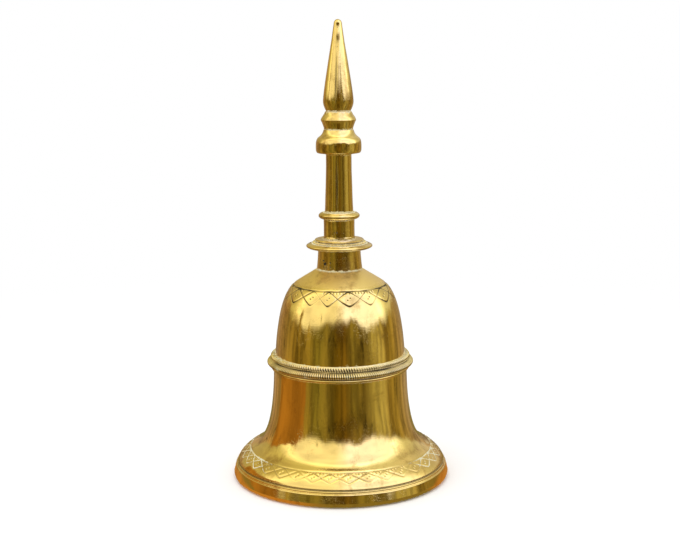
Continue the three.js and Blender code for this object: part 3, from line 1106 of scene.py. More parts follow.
    def longest_step(self, radius: float, height: float) -> float:
        """Says how long a stretch of the outline may be.

        Args:
            radius: Where the stretch is.
            height: How high it is.

        Returns:
            The longest that it may be.
        """
        if self.in_shoulder_band(radius, height):
            return 0.0005
        hidden = radius < self.neck_radius or self.band_low < height < self.band_high
        return 0.005 if hidden else 0.0028

    def in_shoulder_band(self, radius: Numbers, height: Numbers) -> Numbers:
        """Says whether places lie on the engraved shoulder."""
        low, high = self.shoulder_band
        return (height > low) & (height < high) & (radius > self.shoulder_radius - 0.0012)

    def in_flare_band(self, radius: Numbers, height: Numbers) -> Numbers:
        """Says whether places lie on the engraved flare, and not on the wall inside it."""
        low, high = self.flare_band
        outside = (radius > self.flare_radius + 0.0003) & (height + 0.9 * radius > 0.0452)
        return (height > low) & (height < high) & outside

    def build(self) -> Piece:
        """Turns the body, divides its engraved bands, cuts the engraving and marks the wear."""
        outside = self.outside().eased(self.easing).divided(self.longest_step)
        inside = self.inside().eased(self.easing).divided(self.longest_step)
        piece = turned("bell_body_fine", Outline(outside.points + inside.points), self.steps)
        divide_faces(piece, self.in_flare_band, 2)
        divide_faces(piece, self.in_shoulder_band, 1)
        at = Vertices.of(piece)
        profile = np.array(outside.points)
        skin = np.abs(at.radius - np.interp(at.height, profile[:, 1], profile[:, 0])) < self.skin
        seated = (at.height > self.band_low - 0.0008) & (at.height < self.band_high + 0.0002)
        loose = skin & ~seated & (at.height > 0.0008) & (at.height < self.seat.high - 0.0004)
        engraved = self.engraving(at, profile) * skin
        displace(piece, self.wobble, loose.astype(float), self.wobble_grain)
        displace(piece, self.engraving_depth, engraved)
        self.mark(piece, at, skin, engraved)
        return piece

    def mark(self, piece: Piece, at: Vertices, skin: np.ndarray, engraved: np.ndarray) -> None:
        """Marks what the brass shows: engraving, crevices, pits, the crown's satin and raw casting.

        Args:
            piece: The body.
            at: Its vertices before the engraving was cut.
            skin: Whether each vertex is on the outside.
            engraved: How deep each is engraved, from 0 to 1.
        """
        # Grime and painted shade: the engraving and the groove above the lip's ridge are darkened, the
        # flare's engraving less.
        ridge_gap = at.near_circle(*self.groove_place(), 0.0005) * skin
        worn = np.where(at.height < self.waist_radius, self.flare_wear, 1)
        crevices = np.maximum(self.crevices(at) * skin, np.sqrt(engraved) * self.packed(at))
        keep_attribute(piece, "engraved", np.maximum(engraved * worn, 0.9 * ridge_gap))
        keep_attribute(piece, "crevice", crevices)
        keep_attribute(piece, "pitted", self.pitted(at) * skin)
        keep_attribute(piece, "satin", np.clip((at.height - self.shoulder_line) / 0.0012, 0, 1))
        keep_attribute(piece, "casting", np.where(skin, 0, 1) * np.clip((at.height - 0.0004) / 0.002, 0, 1))

    def engraving(self, at: Vertices, profile: np.ndarray) -> np.ndarray:
        """Works out both engraved bands.

        Args:
            at: The body's vertices.
            profile: The points of its outer outline.

        Returns:
            The engraving's depth at each vertex, from 0 to 1.
        """
        length = np.concatenate([[0], np.cumsum(np.hypot(*np.diff(profile, axis=0).T))])
        reach = np.interp(at.height, profile[:, 1], length)
        depth = np.zeros(len(at.height))
        bands = ((self.in_flare_band, self.flare_line, self.flare_lace),
                 (self.in_shoulder_band, self.shoulder_line, self.shoulder_lace))
        for inside_band, line, lace in bands:
            along = np.interp(line, profile[:, 1], length) - reach
            band = inside_band(at.radius, at.height)
            depth = np.where(band, lace.cut(at.angle, along, at.radius), depth)
        return depth

    def packed(self, at: Vertices) -> np.ndarray:
        """Says how full of dried polish the engraving is: worn clean in front, packed at the sides.

        Args:
            at: The body's vertices.

        Returns:
            A share from 0 to 1 for each vertex.
        """
        side = np.clip((np.abs(np.sin(at.angle)) - 0.55) / 0.3, 0, 1)
        patches = 0.5 + 0.5 * np.sin(4 * at.angle + 1.1) * np.sin(9 * at.angle)
        share = np.where(at.height < self.waist_radius, 1, 0.4)
        return np.clip(0.95 * side + 0.3 * patches * (1 - side), 0, 1) * share

    def groove_place(self) -> Point:
        """Returns the radius and height of the groove above the lip's ridge."""
        ridge_top = self.lip_height + self.ridge_height
        return self.seat.radius - self.lip_lean - 2 * self.groove_depth, ridge_top + 0.0004

    def crevices(self, at: Vertices) -> np.ndarray:
        """Works out where polish collects: by the lip's groove, the neck and the waist band.

        Args:
            at: The body's vertices.

        Returns:
            How deep in a crevice each vertex is, from 0 to 1.
        """
        groove_radius, groove_level = self.groove_place()
        places = (
            (groove_radius - 0.0005, groove_level + 0.0003, 0.0004, 0.45),
            (groove_radius + 0.0007, self.lip_height + 0.0001, 0.0004, 0.5),
            (self.neck_radius, self.seat.high, 0.0006, 0.9),
            (self.waist_radius, self.band_low, 0.0004, 0.4),
            (self.waist_radius - self.ledge, self.band_high, 0.0005, 0.8),
        )
        return at.in_crevices(*places)

    def pitted(self, at: Vertices) -> np.ndarray:
        """Works out the few spots where casting pits lie thick.

        Args:
            at: The body's vertices.

        Returns:
            How pitted each vertex is, from 0 to 1.
        """
        spots = (
            (-35, 0.0232, 0.003, 0.0012, 0.8),
            (47, 0.0215, 0.003, 0.001, 0.6),
            (150, 0.03, 0.005, 0.003, 0.7),
            (-120, 0.065, 0.004, 0.003, 0.6),
        )
        return np.max([share * at.near_spot(*spot) for *spot, share in spots], axis=0)

    def dress(self, palette: Palette) -> None:
        """Builds the body and puts it in place in its material."""
        finish_piece(self.build(), Body.BELL, palette.body)


@dataclass(frozen=True)
class Milling:
    """Flutes rolled into a ring's edge."""

    count: int
    depth: float
    slant: float
    sharpness: float = 1

    def cut(self, at: Vertices, seat: Seat, foot_radius: float) -> np.ndarray:
        """Works out how deep the flutes are.

        Args:
            at: The ring's vertices.
            seat: Where the ring stands.
            foot_radius: The radius that the flutes start from.

        Returns:
            A depth from 0 to 1 for each vertex.
        """
        level = (at.height - seat.low) / seat.height - 0.5
        phase = self.count * at.angle + self.slant * level * math.pi
        hand = 0.78 + 0.22 * np.sin(13 * at.angle + 0.5) * np.sin(7 * at.angle)
        edge = np.clip((at.radius - foot_radius) / (0.55 * (seat.radius - foot_radius)), 0, 1)
        return (0.5 - 0.5 * np.cos(phase)) ** self.sharpness * edge * hand


@dataclass
class WaistBand:
    """Three rings soldered round the waist: a plain one below and two milled ones above."""

    bore: float = 0.0276
    foot: float = 0.000625
    plain_steps: int = 288
    milled_steps: int = 1320
    wobble: float = 0.0001
    wobble_grain: float = 0.009
    edge_reach: float = 0.00026
    lower_milling: Milling = Milling(204, 0.0003, 0.6, 0.8)
    upper_milling: Milling = Milling(172, 0.0005, 1.1, 0.65)

    def turn_ring(self, node: str, steps: int) -> Piece:
        """Turns one rounded ring.

        Args:
            node: The CAD node that it replaces.
            steps: How many faces go round it.

        Returns:
            The ring.
        """
        seat = Seat.of(node)
        foot = self.bore + self.foot
        outline = Outline().to((self.bore, seat.low))
        outline.bulge(foot, seat.low, seat.high, seat.radius - foot, 1.15, 14)
        return turned(node + "_fine", outline.to((self.bore, seat.high)), steps)

    def plain_ring(self, node: str) -> Piece:
        """Makes the plain ring, a little uneven and with painted shade under the ring above it.

        Args:
            node: The CAD node that it replaces.

        Returns:
            The ring.
        """
        ring = self.turn_ring(node, self.plain_steps)
        at = Vertices.of(ring)
        displace(ring, self.wobble, (at.radius > self.bore + self.foot).astype(float), self.wobble_grain)
        # Painted shade under the ring above, carried by the engraved value.
        keep_attribute(ring, "engraved", 0.8 * groove(at.height - Seat.of(node).high, self.edge_reach))
        return ring

    def milled_ring(self, node: str, milling: Milling, upper: bool) -> Piece:
        """Makes a milled ring, with grime and painted shade in its flutes and along the seam between the two
        milled rings.

        Args:
            node: The CAD node that it replaces.
            milling: Its flutes.
            upper: Whether it lies above the seam.

        Returns:
            The ring, with dried polish on its top edge if it is the upper one, or else in patches.
        """
        ring = self.turn_ring(node, self.milled_steps)
        seat, at = Seat.of(node), Vertices.of(ring)
        low_edge = groove(at.height - seat.low, self.edge_reach)
        high_edge = groove(at.height - seat.high, self.edge_reach)
        flutes = milling.cut(at, seat, self.bore + self.foot)
        displace(ring, -milling.depth, flutes)
        seam = low_edge if upper else high_edge
        depth = 0.6 + 0.25 * np.sin(3 * at.angle + 2.6) * np.sin(8 * at.angle)
        # Grime and painted shade in the flutes and along the seam.
        keep_attribute(ring, "engraved", np.maximum(flutes, seam * depth))
        patches = 0.5 + 0.5 * np.sin(5 * at.angle + 0.4) * np.sin(17 * at.angle)
        keep_attribute(ring, "crevice", 0.55 * high_edge if upper else 0.5 * patches * (1 - high_edge))
        return ring

    def dress(self, palette: Palette) -> None:
        """Builds the three rings and puts them in place.

        Args:
            palette: The materials.
        """
        finish_piece(self.plain_ring("band_base_ring"), Body.BELL, palette.handle)
        lower = self.milled_ring("band_lower_ring", self.lower_milling, False)
        finish_piece(lower, Body.BELL, palette.band, MILLED_SMOOTHING)
        upper = self.milled_ring("band_upper_ring", self.upper_milling, True)
        finish_piece(upper, Body.BELL, palette.band, MILLED_SMOOTHING)


@dataclass
class TurnedStack:
    """What the handle's turned pieces share: how finely they are made, and their slight unevenness."""

    steps: int = 144
    longest_stretch: float = 0.0006
    easing: float = 0.0003
    wobble: float = 0.00014
    wobble_grain: float = 0.007

    def section(self, node: str, outline: Outline) -> Piece:
        """Turns one bored piece of the handle.

        Args:
            node: The CAD node that it replaces.
            outline: The outline of its outside, from the foot up.

        Returns:
            The piece, slightly uneven on its outside.
        """
        low, high = outline.points[0][1], outline.points[-1][1]
        whole = Outline([(SPINDLE_BORE, low), *outline.points, (SPINDLE_BORE, high)]).eased(self.easing)
        whole = whole.divided(lambda radius, height: self.longest_stretch)
        piece = turned(node + "_fine", whole, self.steps)
        at = Vertices.of(piece)
        outer = (at.height > low + 0.0003) & (at.height < high - 0.0003) & (at.radius > SPINDLE_BORE + 0.001)
        displace(piece, self.wobble, outer.astype(float), self.wobble_grain)
        return piece

    def crevices(self, piece: Piece, *places: tuple[float, float, float, float]) -> Piece:
        """Marks level circles where polish collects, each (radius, level, reach, share)."""
        keep_attribute(piece, "crevice", Vertices.of(piece).in_crevices(*places))
        return piece

    def dress_all(self, pieces: list[Piece], palette: Palette) -> None:
        """Puts pieces in place in the handle's brass."""
        for piece in pieces:
            finish_piece(piece, Body.BELL, palette.handle)


@dataclass
class Flange(TurnedStack):
    """The neck on the crown and the flange above it: a plate, a milled ring and a cap."""

    neck_top: float = 0.008875
    plate_foot: float = 0.01
    plate_seat: float = 0.01075
    ring_width: float = 0.0015
    ring_fit: float = 0.0001
    cap_foot: float = 0.009
    cap_top: float = 0.008
    milled_steps: int = 704
    milling: Milling = Milling(88, 0.00032, 0.4, 1.2)

    def neck(self) -> Piece:
        """Makes the neck, with a small foot that spreads on the crown."""
        seat = Seat.of("neck_collar")
        outline = Outline().to((seat.radius, seat.low))
        outline.bend((self.neck_top + 0.0003, seat.up(0.3)), (self.neck_top, seat.up(0.6)),
                     (self.neck_top, seat.high))
        piece = self.crevices(self.section("neck_collar", outline), (seat.radius, seat.low, 0.0009, 1),
                              (self.neck_top, seat.high, 0.0005, 0.6))
        at = Vertices.of(piece)
        keep_attribute(piece, "pitted", 0.9 * at.near_spot(-42, seat.up(0.35), 0.0035, 0.0022)
                       + 0.8 * at.near_spot(15, seat.up(0.7), 0.002, 0.001))
        return piece

    def plate(self) -> Piece:
        """Makes the flange's plate."""
        seat = Seat.of("flange_plate")
        outline = Outline().to((self.plate_foot, seat.low))
        outline.bulge(self.plate_seat, seat.low + 0.00025, seat.high, seat.radius - self.plate_seat, 1.15)
        return self.crevices(self.section("flange_plate", outline),
                             (self.plate_seat + 0.0004, seat.high, 0.0009, 1),
                             (self.plate_foot, seat.low, 0.0006, 0.7))

    def milled_ring(self) -> Piece:
        """Makes the milled ring that lies on the plate."""
        seat = Seat.of("flange_milled_ring")
        bore = self.cap_foot + self.ring_fit
        edge = bore + self.ring_width
        outline = Outline().to((bore, seat.low)).bulge(edge, seat.low, seat.high, seat.radius - edge, 1, 10)
        outline = outline.to((bore, seat.high)).divided(lambda radius, height: 0.0003)
        piece = turned("flange_milled_ring_fine", outline, self.milled_steps)
        at = Vertices.of(piece)
        flutes = self.milling.cut(at, seat, edge - 0.0009) * (at.height > seat.low + 0.0001)
        displace(piece, -self.milling.depth, flutes)
        # Grime and painted shade in the flutes.
        keep_attribute(piece, "engraved", 0.5 * flutes)
        return self.crevices(piece, (seat.radius, seat.low, 0.0005, 0.9),
                             (bore + 0.0008, seat.high, 0.0008, 0.9))

    def cap(self) -> Piece:
        """Makes the flange's cap: a foot inside the milled ring, then a rounded brim."""
        seat = Seat.of("flange_cap")
        brim = Seat.of("flange_milled_ring").high + self.ring_fit
        edge = self.cap_foot + 0.0004
        outline = Outline().to((self.cap_foot, seat.low), (self.cap_foot, brim), (edge, brim))
        outline.bulge(edge, brim, seat.high, seat.radius - self.cap_foot - 0.0004, 0.9, 12)
        outline.to((self.cap_top, seat.high))
        return self.crevices(self.section("flange_cap", outline),
                             (self.cap_top - 0.001, seat.high, 0.0008, 0.8),
                             (seat.radius, brim, 0.0005, 0.6))

    def dress(self, palette: Palette) -> None:
        """Builds the neck and the flange and puts them in place."""
        self.dress_all([self.neck(), self.plate(), self.cap()], palette)
        finish_piece(self.milled_ring(), Body.BELL, palette.band, MILLED_SMOOTHING)


@dataclass
class Grip(TurnedStack):
    """The grip: a spool, a ring, the shaft and the cushion-shaped knob."""

    spool_waist: float = 0.006375
    ring_face: float = 0.00625
    shaft_foot: float = 0.005875
    shaft_top: float = 0.00525
    knob_foot: float = 0.005625
    knob_top: float = 0.006125

    def spool(self) -> Piece:
        """Makes the spool, with a rough cast scar on its front."""
        seat = Seat.of("shaft_spool")
        outline = Outline().to((seat.radius, seat.low), (self.spool_waist, seat.up(0.15)),
                               (self.spool_waist, seat.high))
        piece = self.section("shaft_spool", outline.eased(0.002, 5))
        at = Vertices.of(piece)
        scar = at.near_spot(-14, seat.up(0.42), 0.0026, 0.0014)
        displace(piece, 0.0007, scar, 0.0009)
        keep_attribute(piece, "pitted", 0.45 * scar)
        return self.crevices(piece, (seat.radius, seat.low, 0.0008, 0.9),
                             (self.spool_waist, seat.high, 0.0005, 0.5),
                             (seat.radius, seat.up(0.35), 0.0002, 0.2))

    def ring(self) -> Piece:
        """Makes the rounded ring under the shaft."""
        seat = Seat.of("grip_ring")
        outline = Outline().bulge(self.ring_face, seat.low, seat.high, seat.radius - self.ring_face, 1.15)
        return self.crevices(self.section("grip_ring", outline),
                             (self.ring_face + 0.0002, seat.high, 0.0009, 1),
                             (self.ring_face, seat.low, 0.0005, 0.5))

    def shaft(self) -> Piece:
        """Makes the shaft, which narrows a little towards the knob and has a long dark dent in front."""
        seat = Seat.of("handle_shaft")
        outline = Outline().to((self.shaft_foot, seat.low))
        outline.bend((self.shaft_foot - 0.00025, seat.up(0.3)), (self.shaft_top, seat.up(0.6)),
                     (self.shaft_top, seat.high), 24)
        piece = self.section("handle_shaft", outline)
        at = Vertices.of(piece)
        seam = at.near_spot(-8, seat.up(0.45), 0.00045, 0.011)
        displace(piece, -0.00018, seam)
        # The dent is darkened with grime and painted shade.
        keep_attribute(piece, "engraved", 0.8 * seam)
        return self.crevices(piece, (self.shaft_foot, seat.low, 0.0009, 1),
                             (self.shaft_top, seat.high, 0.0004, 0.6))

    def knob(self) -> Piece:
        """Makes the knob: a short foot, a full steep edge and a hollow slope up to the collar."""
        seat = Seat.of("cushion_knob")
        full = seat.radius
        outline = Outline().to((self.knob_foot, seat.low), (self.knob_foot, seat.up(0.04)))
        outline.to((0.88 * full, seat.up(0.05)))
        outline.bend((0.985 * full, seat.up(0.06)), (full, seat.up(0.13)), (full, seat.up(0.3)), 10)
        outline.bend((full, seat.up(0.5)), (0.985 * full, seat.up(0.62)), (0.87 * full, seat.up(0.7)), 12)
        outline.bend((0.76 * full, seat.up(0.77)), (self.knob_top + 0.0003, seat.up(0.86)),
                     (self.knob_top, seat.high), 12)
        return self.crevices(self.section("cushion_knob", outline), (self.knob_top, seat.high, 0.0011, 0.6),
                             (self.knob_foot, seat.low, 0.0007, 0.5))

    def dress(self, palette: Palette) -> None:
        """Builds the grip and puts it in place."""
        self.dress_all([self.spool(), self.ring(), self.shaft(), self.knob()], palette)


@dataclass
class Finial(TurnedStack):
    """The finial: a double cone and the spire that stands on it."""

    collar_foot: float = 0.006
    collar_top: float = 0.005875
    spire_foot: float = 0.005
    spire_belly: float = 0.00625
    belly_level: float = 0.004
    tip_radius: float = 0.001625
    blind_hole: float = 0.0165

    def collar(self) -> Piece:
        """Makes the double cone."""
        seat = Seat.of("finial_collar")
        edge = seat.up(0.52)
        outline = Outline().to(
            (self.collar_foot, seat.low),
            (self.collar_foot, seat.up(0.1)),
            (seat.radius - 0.0005, edge - 0.001),
            (seat.radius, edge),
            (seat.radius - 0.000375, edge + 0.001),
            (self.collar_top, seat.up(0.85)),
            (self.collar_top - 0.0005, seat.high),
        )
        piece = self.section("finial_collar", outline)
        return self.crevices(piece, (self.collar_foot, seat.low, 0.0009, 0.8),
                             (self.collar_top, seat.high, 0.0008, 1))

    def spire(self) -> Piece:
        """Makes the spire, with its rounded tip and the blind hole for the spindle."""
        seat = Seat.of("spire_finial")
        belly = seat.low + self.belly_level
        tip = seat.high - self.tip_radius
        taper = tip - belly
        hole_top = seat.low + self.blind_hole
        outline = Outline().to((0, hole_top), (SPINDLE_BORE, hole_top), (SPINDLE_BORE, seat.low),
                               (self.spire_foot, seat.low))
        outline.bend((self.spire_foot + 0.0004, seat.low + 0.001),
                     (self.spire_belly, seat.low + 0.6 * self.belly_level), (self.spire_belly, belly), 10)
        outline.bend((self.spire_belly - 0.0001, belly + 0.15 * taper),
                     (self.tip_radius + 0.001125, belly + 0.72 * taper), (self.tip_radius, tip), 40)
        outline.arc(tip, self.tip_radius, 9, 81, 8).to((0, seat.high))
        piece = turned("spire_finial_fine", outline.eased(self.easing), self.steps)
        at = Vertices.of(piece)
        outer = (at.radius > 0.001) & (at.height > hole_top + 0.002)
        displace(piece, self.wobble, outer.astype(float), self.wobble_grain)
        at = Vertices.of(piece)
        scar = at.near_spot(-4, seat.up(0.72), 0.0009, 0.003)
        scar = np.clip(scar + 0.8 * at.near_spot(-2, seat.up(0.92), 0.0007, 0.0015), 0, 1)
        displace(piece, -0.0002, scar)
        keep_attribute(piece, "pitted", 0.4 * scar)
        # A thin dark upright line near the front is painted on; nothing is cut there.
        keep_attribute(piece, "engraved", 0.7 * at.near_spot(-10, seat.up(0.35), 0.0003, 0.012))
        return self.crevices(piece, (self.spire_foot, seat.low, 0.0007, 1), (0, seat.high, 0.0006, 0.4))

    def dress(self, palette: Palette) -> None:
        """Builds the finial and puts it in place."""
        self.dress_all([self.collar(), self.spire()], palette)


@dataclass
class Fastening:
    """What holds the handle on: the spindle, and the washer and nut under the crown."""

    spindle_radius: float = 0.0025
    head_height: float = 0.0015
    shank_hole: float = 0.00115
    shank_depth: float = 0.007
    across_flats: float = 0.0095
    steps: int = 64

    def spindle(self) -> Piece:
        """Makes the spindle with its peened head, drilled from below for the eye."""
        seat = Seat.of("handle_spindle")
        shoulder = seat.low + self.head_height
        hole_top = seat.low + self.shank_depth
        outline = Outline().to((0, hole_top), (self.shank_hole, hole_top), (self.shank_hole, seat.low))
        outline.bend((seat.radius - 0.0008, seat.low), (seat.radius, seat.low + 0.0002),
                     (seat.radius, shoulder), 8)
        outline.to((self.spindle_radius, shoulder), (self.spindle_radius, seat.high), (0, seat.high))
        piece = turned("handle_spindle_fine", outline.eased(0.0002), self.steps)
        at = Vertices.of(piece)
        head = (at.height < shoulder - 0.0003) & (at.radius > self.shank_hole + 0.0004)
        displace(piece, 0.00012, head.astype(float), 0.0012)
        return piece

    def washer(self) -> Piece:
        """Makes the washer, with rounded edges and slightly uneven faces."""
        seat = Seat.of("crown_washer")
        outline = Outline().to((SPINDLE_BORE, seat.low), (seat.radius, seat.low), (seat.radius, seat.high),
                               (SPINDLE_BORE, seat.high))
        outline = outline.eased(0.0004).divided(lambda radius, height: 0.0006)
        piece = turned("crown_washer_fine", outline, self.steps)
        at = Vertices.of(piece)
        faces = (at.radius > 0.004) & (at.radius < seat.radius - 0.0002)
        displace(piece, 0.0001, faces.astype(float), 0.0025)
        return piece

    def nut(self) -> Piece:
        """Makes the square-cut hexagon nut, with its corners chamfered on both faces."""
        seat = Seat.of("crown_nut")
        bpy.ops.object.select_all(action="DESELECT")
        corner = self.across_flats / 2 / math.cos(math.pi / 6)
        bpy.ops.mesh.primitive_cylinder_add(vertices=6, radius=corner, depth=seat.height,
                                            end_fill_type="NGON", location=(0, 0, seat.up(0.5)),
                                            rotation=(0, 0, math.pi / 6))
        nut = bpy.context.object
        nut.name = nut.data.name = "crown_nut_fine"
        bpy.ops.object.transform_apply(location=True, rotation=True, scale=True)
        bpy.ops.object.mode_set(mode="EDIT")
        bpy.ops.mesh.select_mode(type="FACE")
        bpy.ops.mesh.select_all(action="DESELECT")
        bpy.ops.object.mode_set(mode="OBJECT")
        for face in nut.data.polygons:
            face.select = abs(face.normal.z) > 0.9
        bpy.ops.object.mode_set(mode="EDIT")
        bpy.ops.mesh.inset(thickness=0.0006, depth=0)
        bpy.ops.mesh.select_mode(type="VERT")
        bpy.ops.object.mode_set(mode="OBJECT")
        below, above = seat.low - 0.001, seat.high + 0.001
        drill = Outline().to((0, below), (SPINDLE_BORE, below), (SPINDLE_BORE, above), (0, above))
        cutter = turned("nut_bore", drill, 48)
        activate(nut)
        bore = nut.modifiers.new("bore", "BOOLEAN")
        bore.object = cutter
        bore.solver = "EXACT"
        bpy.ops.object.modifier_apply(modifier=bore.name)
        bpy.data.objects.remove(cutter)
        rounding = nut.modifiers.new("rounding", "BEVEL")
        rounding.width = 0.0003
        rounding.segments = 3
        rounding.limit_method = "ANGLE"
        rounding.angle_limit = math.radians(40)
        bpy.ops.object.modifier_apply(modifier=rounding.name)
        return nut

    def dress(self, palette: Palette) -> None:
        """Builds the fastening and puts it in place.

        Args:
            palette: The materials.
        """
        finish_piece(self.spindle(), Body.BELL, palette.iron)
        finish_piece(self.washer(), Body.BELL, palette.cast)
        finish_piece(self.nut(), Body.BELL, palette.iron, NUT_SMOOTHING)


def across_wire(points: list[Point], in_yz: bool = False) -> list[Vector]:
    """Stands [across, height] points up in the XZ plane, or in YZ."""
    return [Vector((0, across, level)) if in_yz else Vector((across, 0, level)) for across, level in points]


@dataclass
class Clapper:
    """The clapper: an eye in the spindle's end, a link on it, and a rod with a cast ball."""

    eye_wire: float = 0.001
    eye_loop: float = 0.0034
    eye_shank: float = 0.00685
    link_wire: float = 0.0008
    link_bend: float = 0.003
    link_gap: float = 0.0005
    rod_wire: float = 0.00125
    rod_loop: float = 0.00365
    ball_radius: float = 0.0085
    ball_steps: int = 96
    collar_radius: float = 0.003
    collar_height: float = 0.0025
    hole_depth: float = 0.009
    tip_radius: float = 0.00225
    wire_fit: float = 0.00015

    def eye(self) -> Piece:
        """Makes the eye: a shank held in the spindle, bent round below it into a loop."""
        centre = Seat.of("clapper_eye").low + self.eye_loop + self.eye_wire
        head = Seat.of("handle_spindle").low
        across, rise = polar(118, self.eye_loop)
        outline = Outline().to((0, head + self.eye_shank), (0, head), (0, head - 0.0008))
        outline.bend((0, head - 0.0022), (across + 0.0009, centre + rise + 0.00048),
                     (across, centre + rise), 8)
        outline.arc(centre, self.eye_loop, 122, 415, 52)
        return bent_wire("clapper_eye_fine", across_wire(outline.points), self.eye_wire)

    def link(self) -> Piece:
        """Makes the oval link, bent shut with a small gap on one side."""
        seat = Seat.of("clapper_link")
        reach = self.link_bend + self.link_wire
        top, low = seat.high - reach, seat.low + reach
        middle = (top + low) / 2
        outline = Outline().to((self.link_bend, middle + self.link_gap / 2))
        outline.arc(top, self.link_bend, 0, 180, 30).arc(low, self.link_bend, 180, 360, 30)
        outline.to((self.link_bend, middle - self.link_gap / 2))
        return bent_wire("clapper_link_fine", across_wire(outline.points, True), self.link_wire)

    def rod(self) -> Piece:
        """Makes the rod: a loop over the link, then straight down into the ball."""
        seat = Seat.of("clapper_rod")
        centre = seat.high - self.rod_loop - self.rod_wire
        across, rise = polar(236, self.rod_loop)
        outline = Outline().arc(centre, self.rod_loop, -58, 236, 52)
        outline.bend((across + 0.0011, centre + rise - 0.0006), (0, centre - 0.0047),
                     (0, centre - 0.0062), 8)
        outline.to((0, (centre + seat.low) / 2), (0, seat.low))
        return bent_wire("clapper_rod_fine", across_wire(outline.points), self.rod_wire)

    def ball(self) -> Piece:
        """Makes the cast ball with its collar, the rod's blind hole and the small tip below."""
        seat = Seat.of("clapper_ball")
        centre = seat.high - self.collar_height - self.ball_radius
        hole = self.rod_wire + self.wire_fit
        collar_angle = math.degrees(math.acos(self.collar_radius / self.ball_radius))
        tip_angle = math.degrees(math.acos(0.7 * self.tip_radius / self.ball_radius))
        outline = Outline().to((0, seat.low)).arc(seat.low + self.tip_radius, self.tip_radius, -80, 30, 12)
        outline.arc(centre, self.ball_radius, -tip_angle, collar_angle, 40)
        outline.to((self.collar_radius, seat.high), (hole, seat.high), (hole, seat.high - self.hole_depth),
                   (0, seat.high - self.hole_depth))
        outline = outline.eased(0.0004).divided(lambda radius, height: 0.0007)
        piece = turned("clapper_ball_fine", outline, self.ball_steps)
        at = Vertices.of(piece)
        outer = (at.radius > hole + 0.0008) | (at.height < centre - self.ball_radius)
        displace(piece, 0.0003, outer * np.clip((at.height - seat.low) / 0.001, 0, 1), 0.0045)
        keep_attribute(piece, "pitted", 0.45 * outer)
        return piece

    def dress(self, palette: Palette) -> None:
        """Builds the clapper's parts and puts each on the body that it swings with.

        Args:
            palette: The materials.
        """
        finish_piece(self.eye(), Body.BELL, palette.iron)
        finish_piece(self.link(), Body.LINK, palette.iron)
        finish_piece(self.rod(), Body.CLAPPER, palette.iron)
        finish_piece(self.ball(), Body.CLAPPER, palette.cast)


# ---- Studio ----------------------------------------------------------------------------------


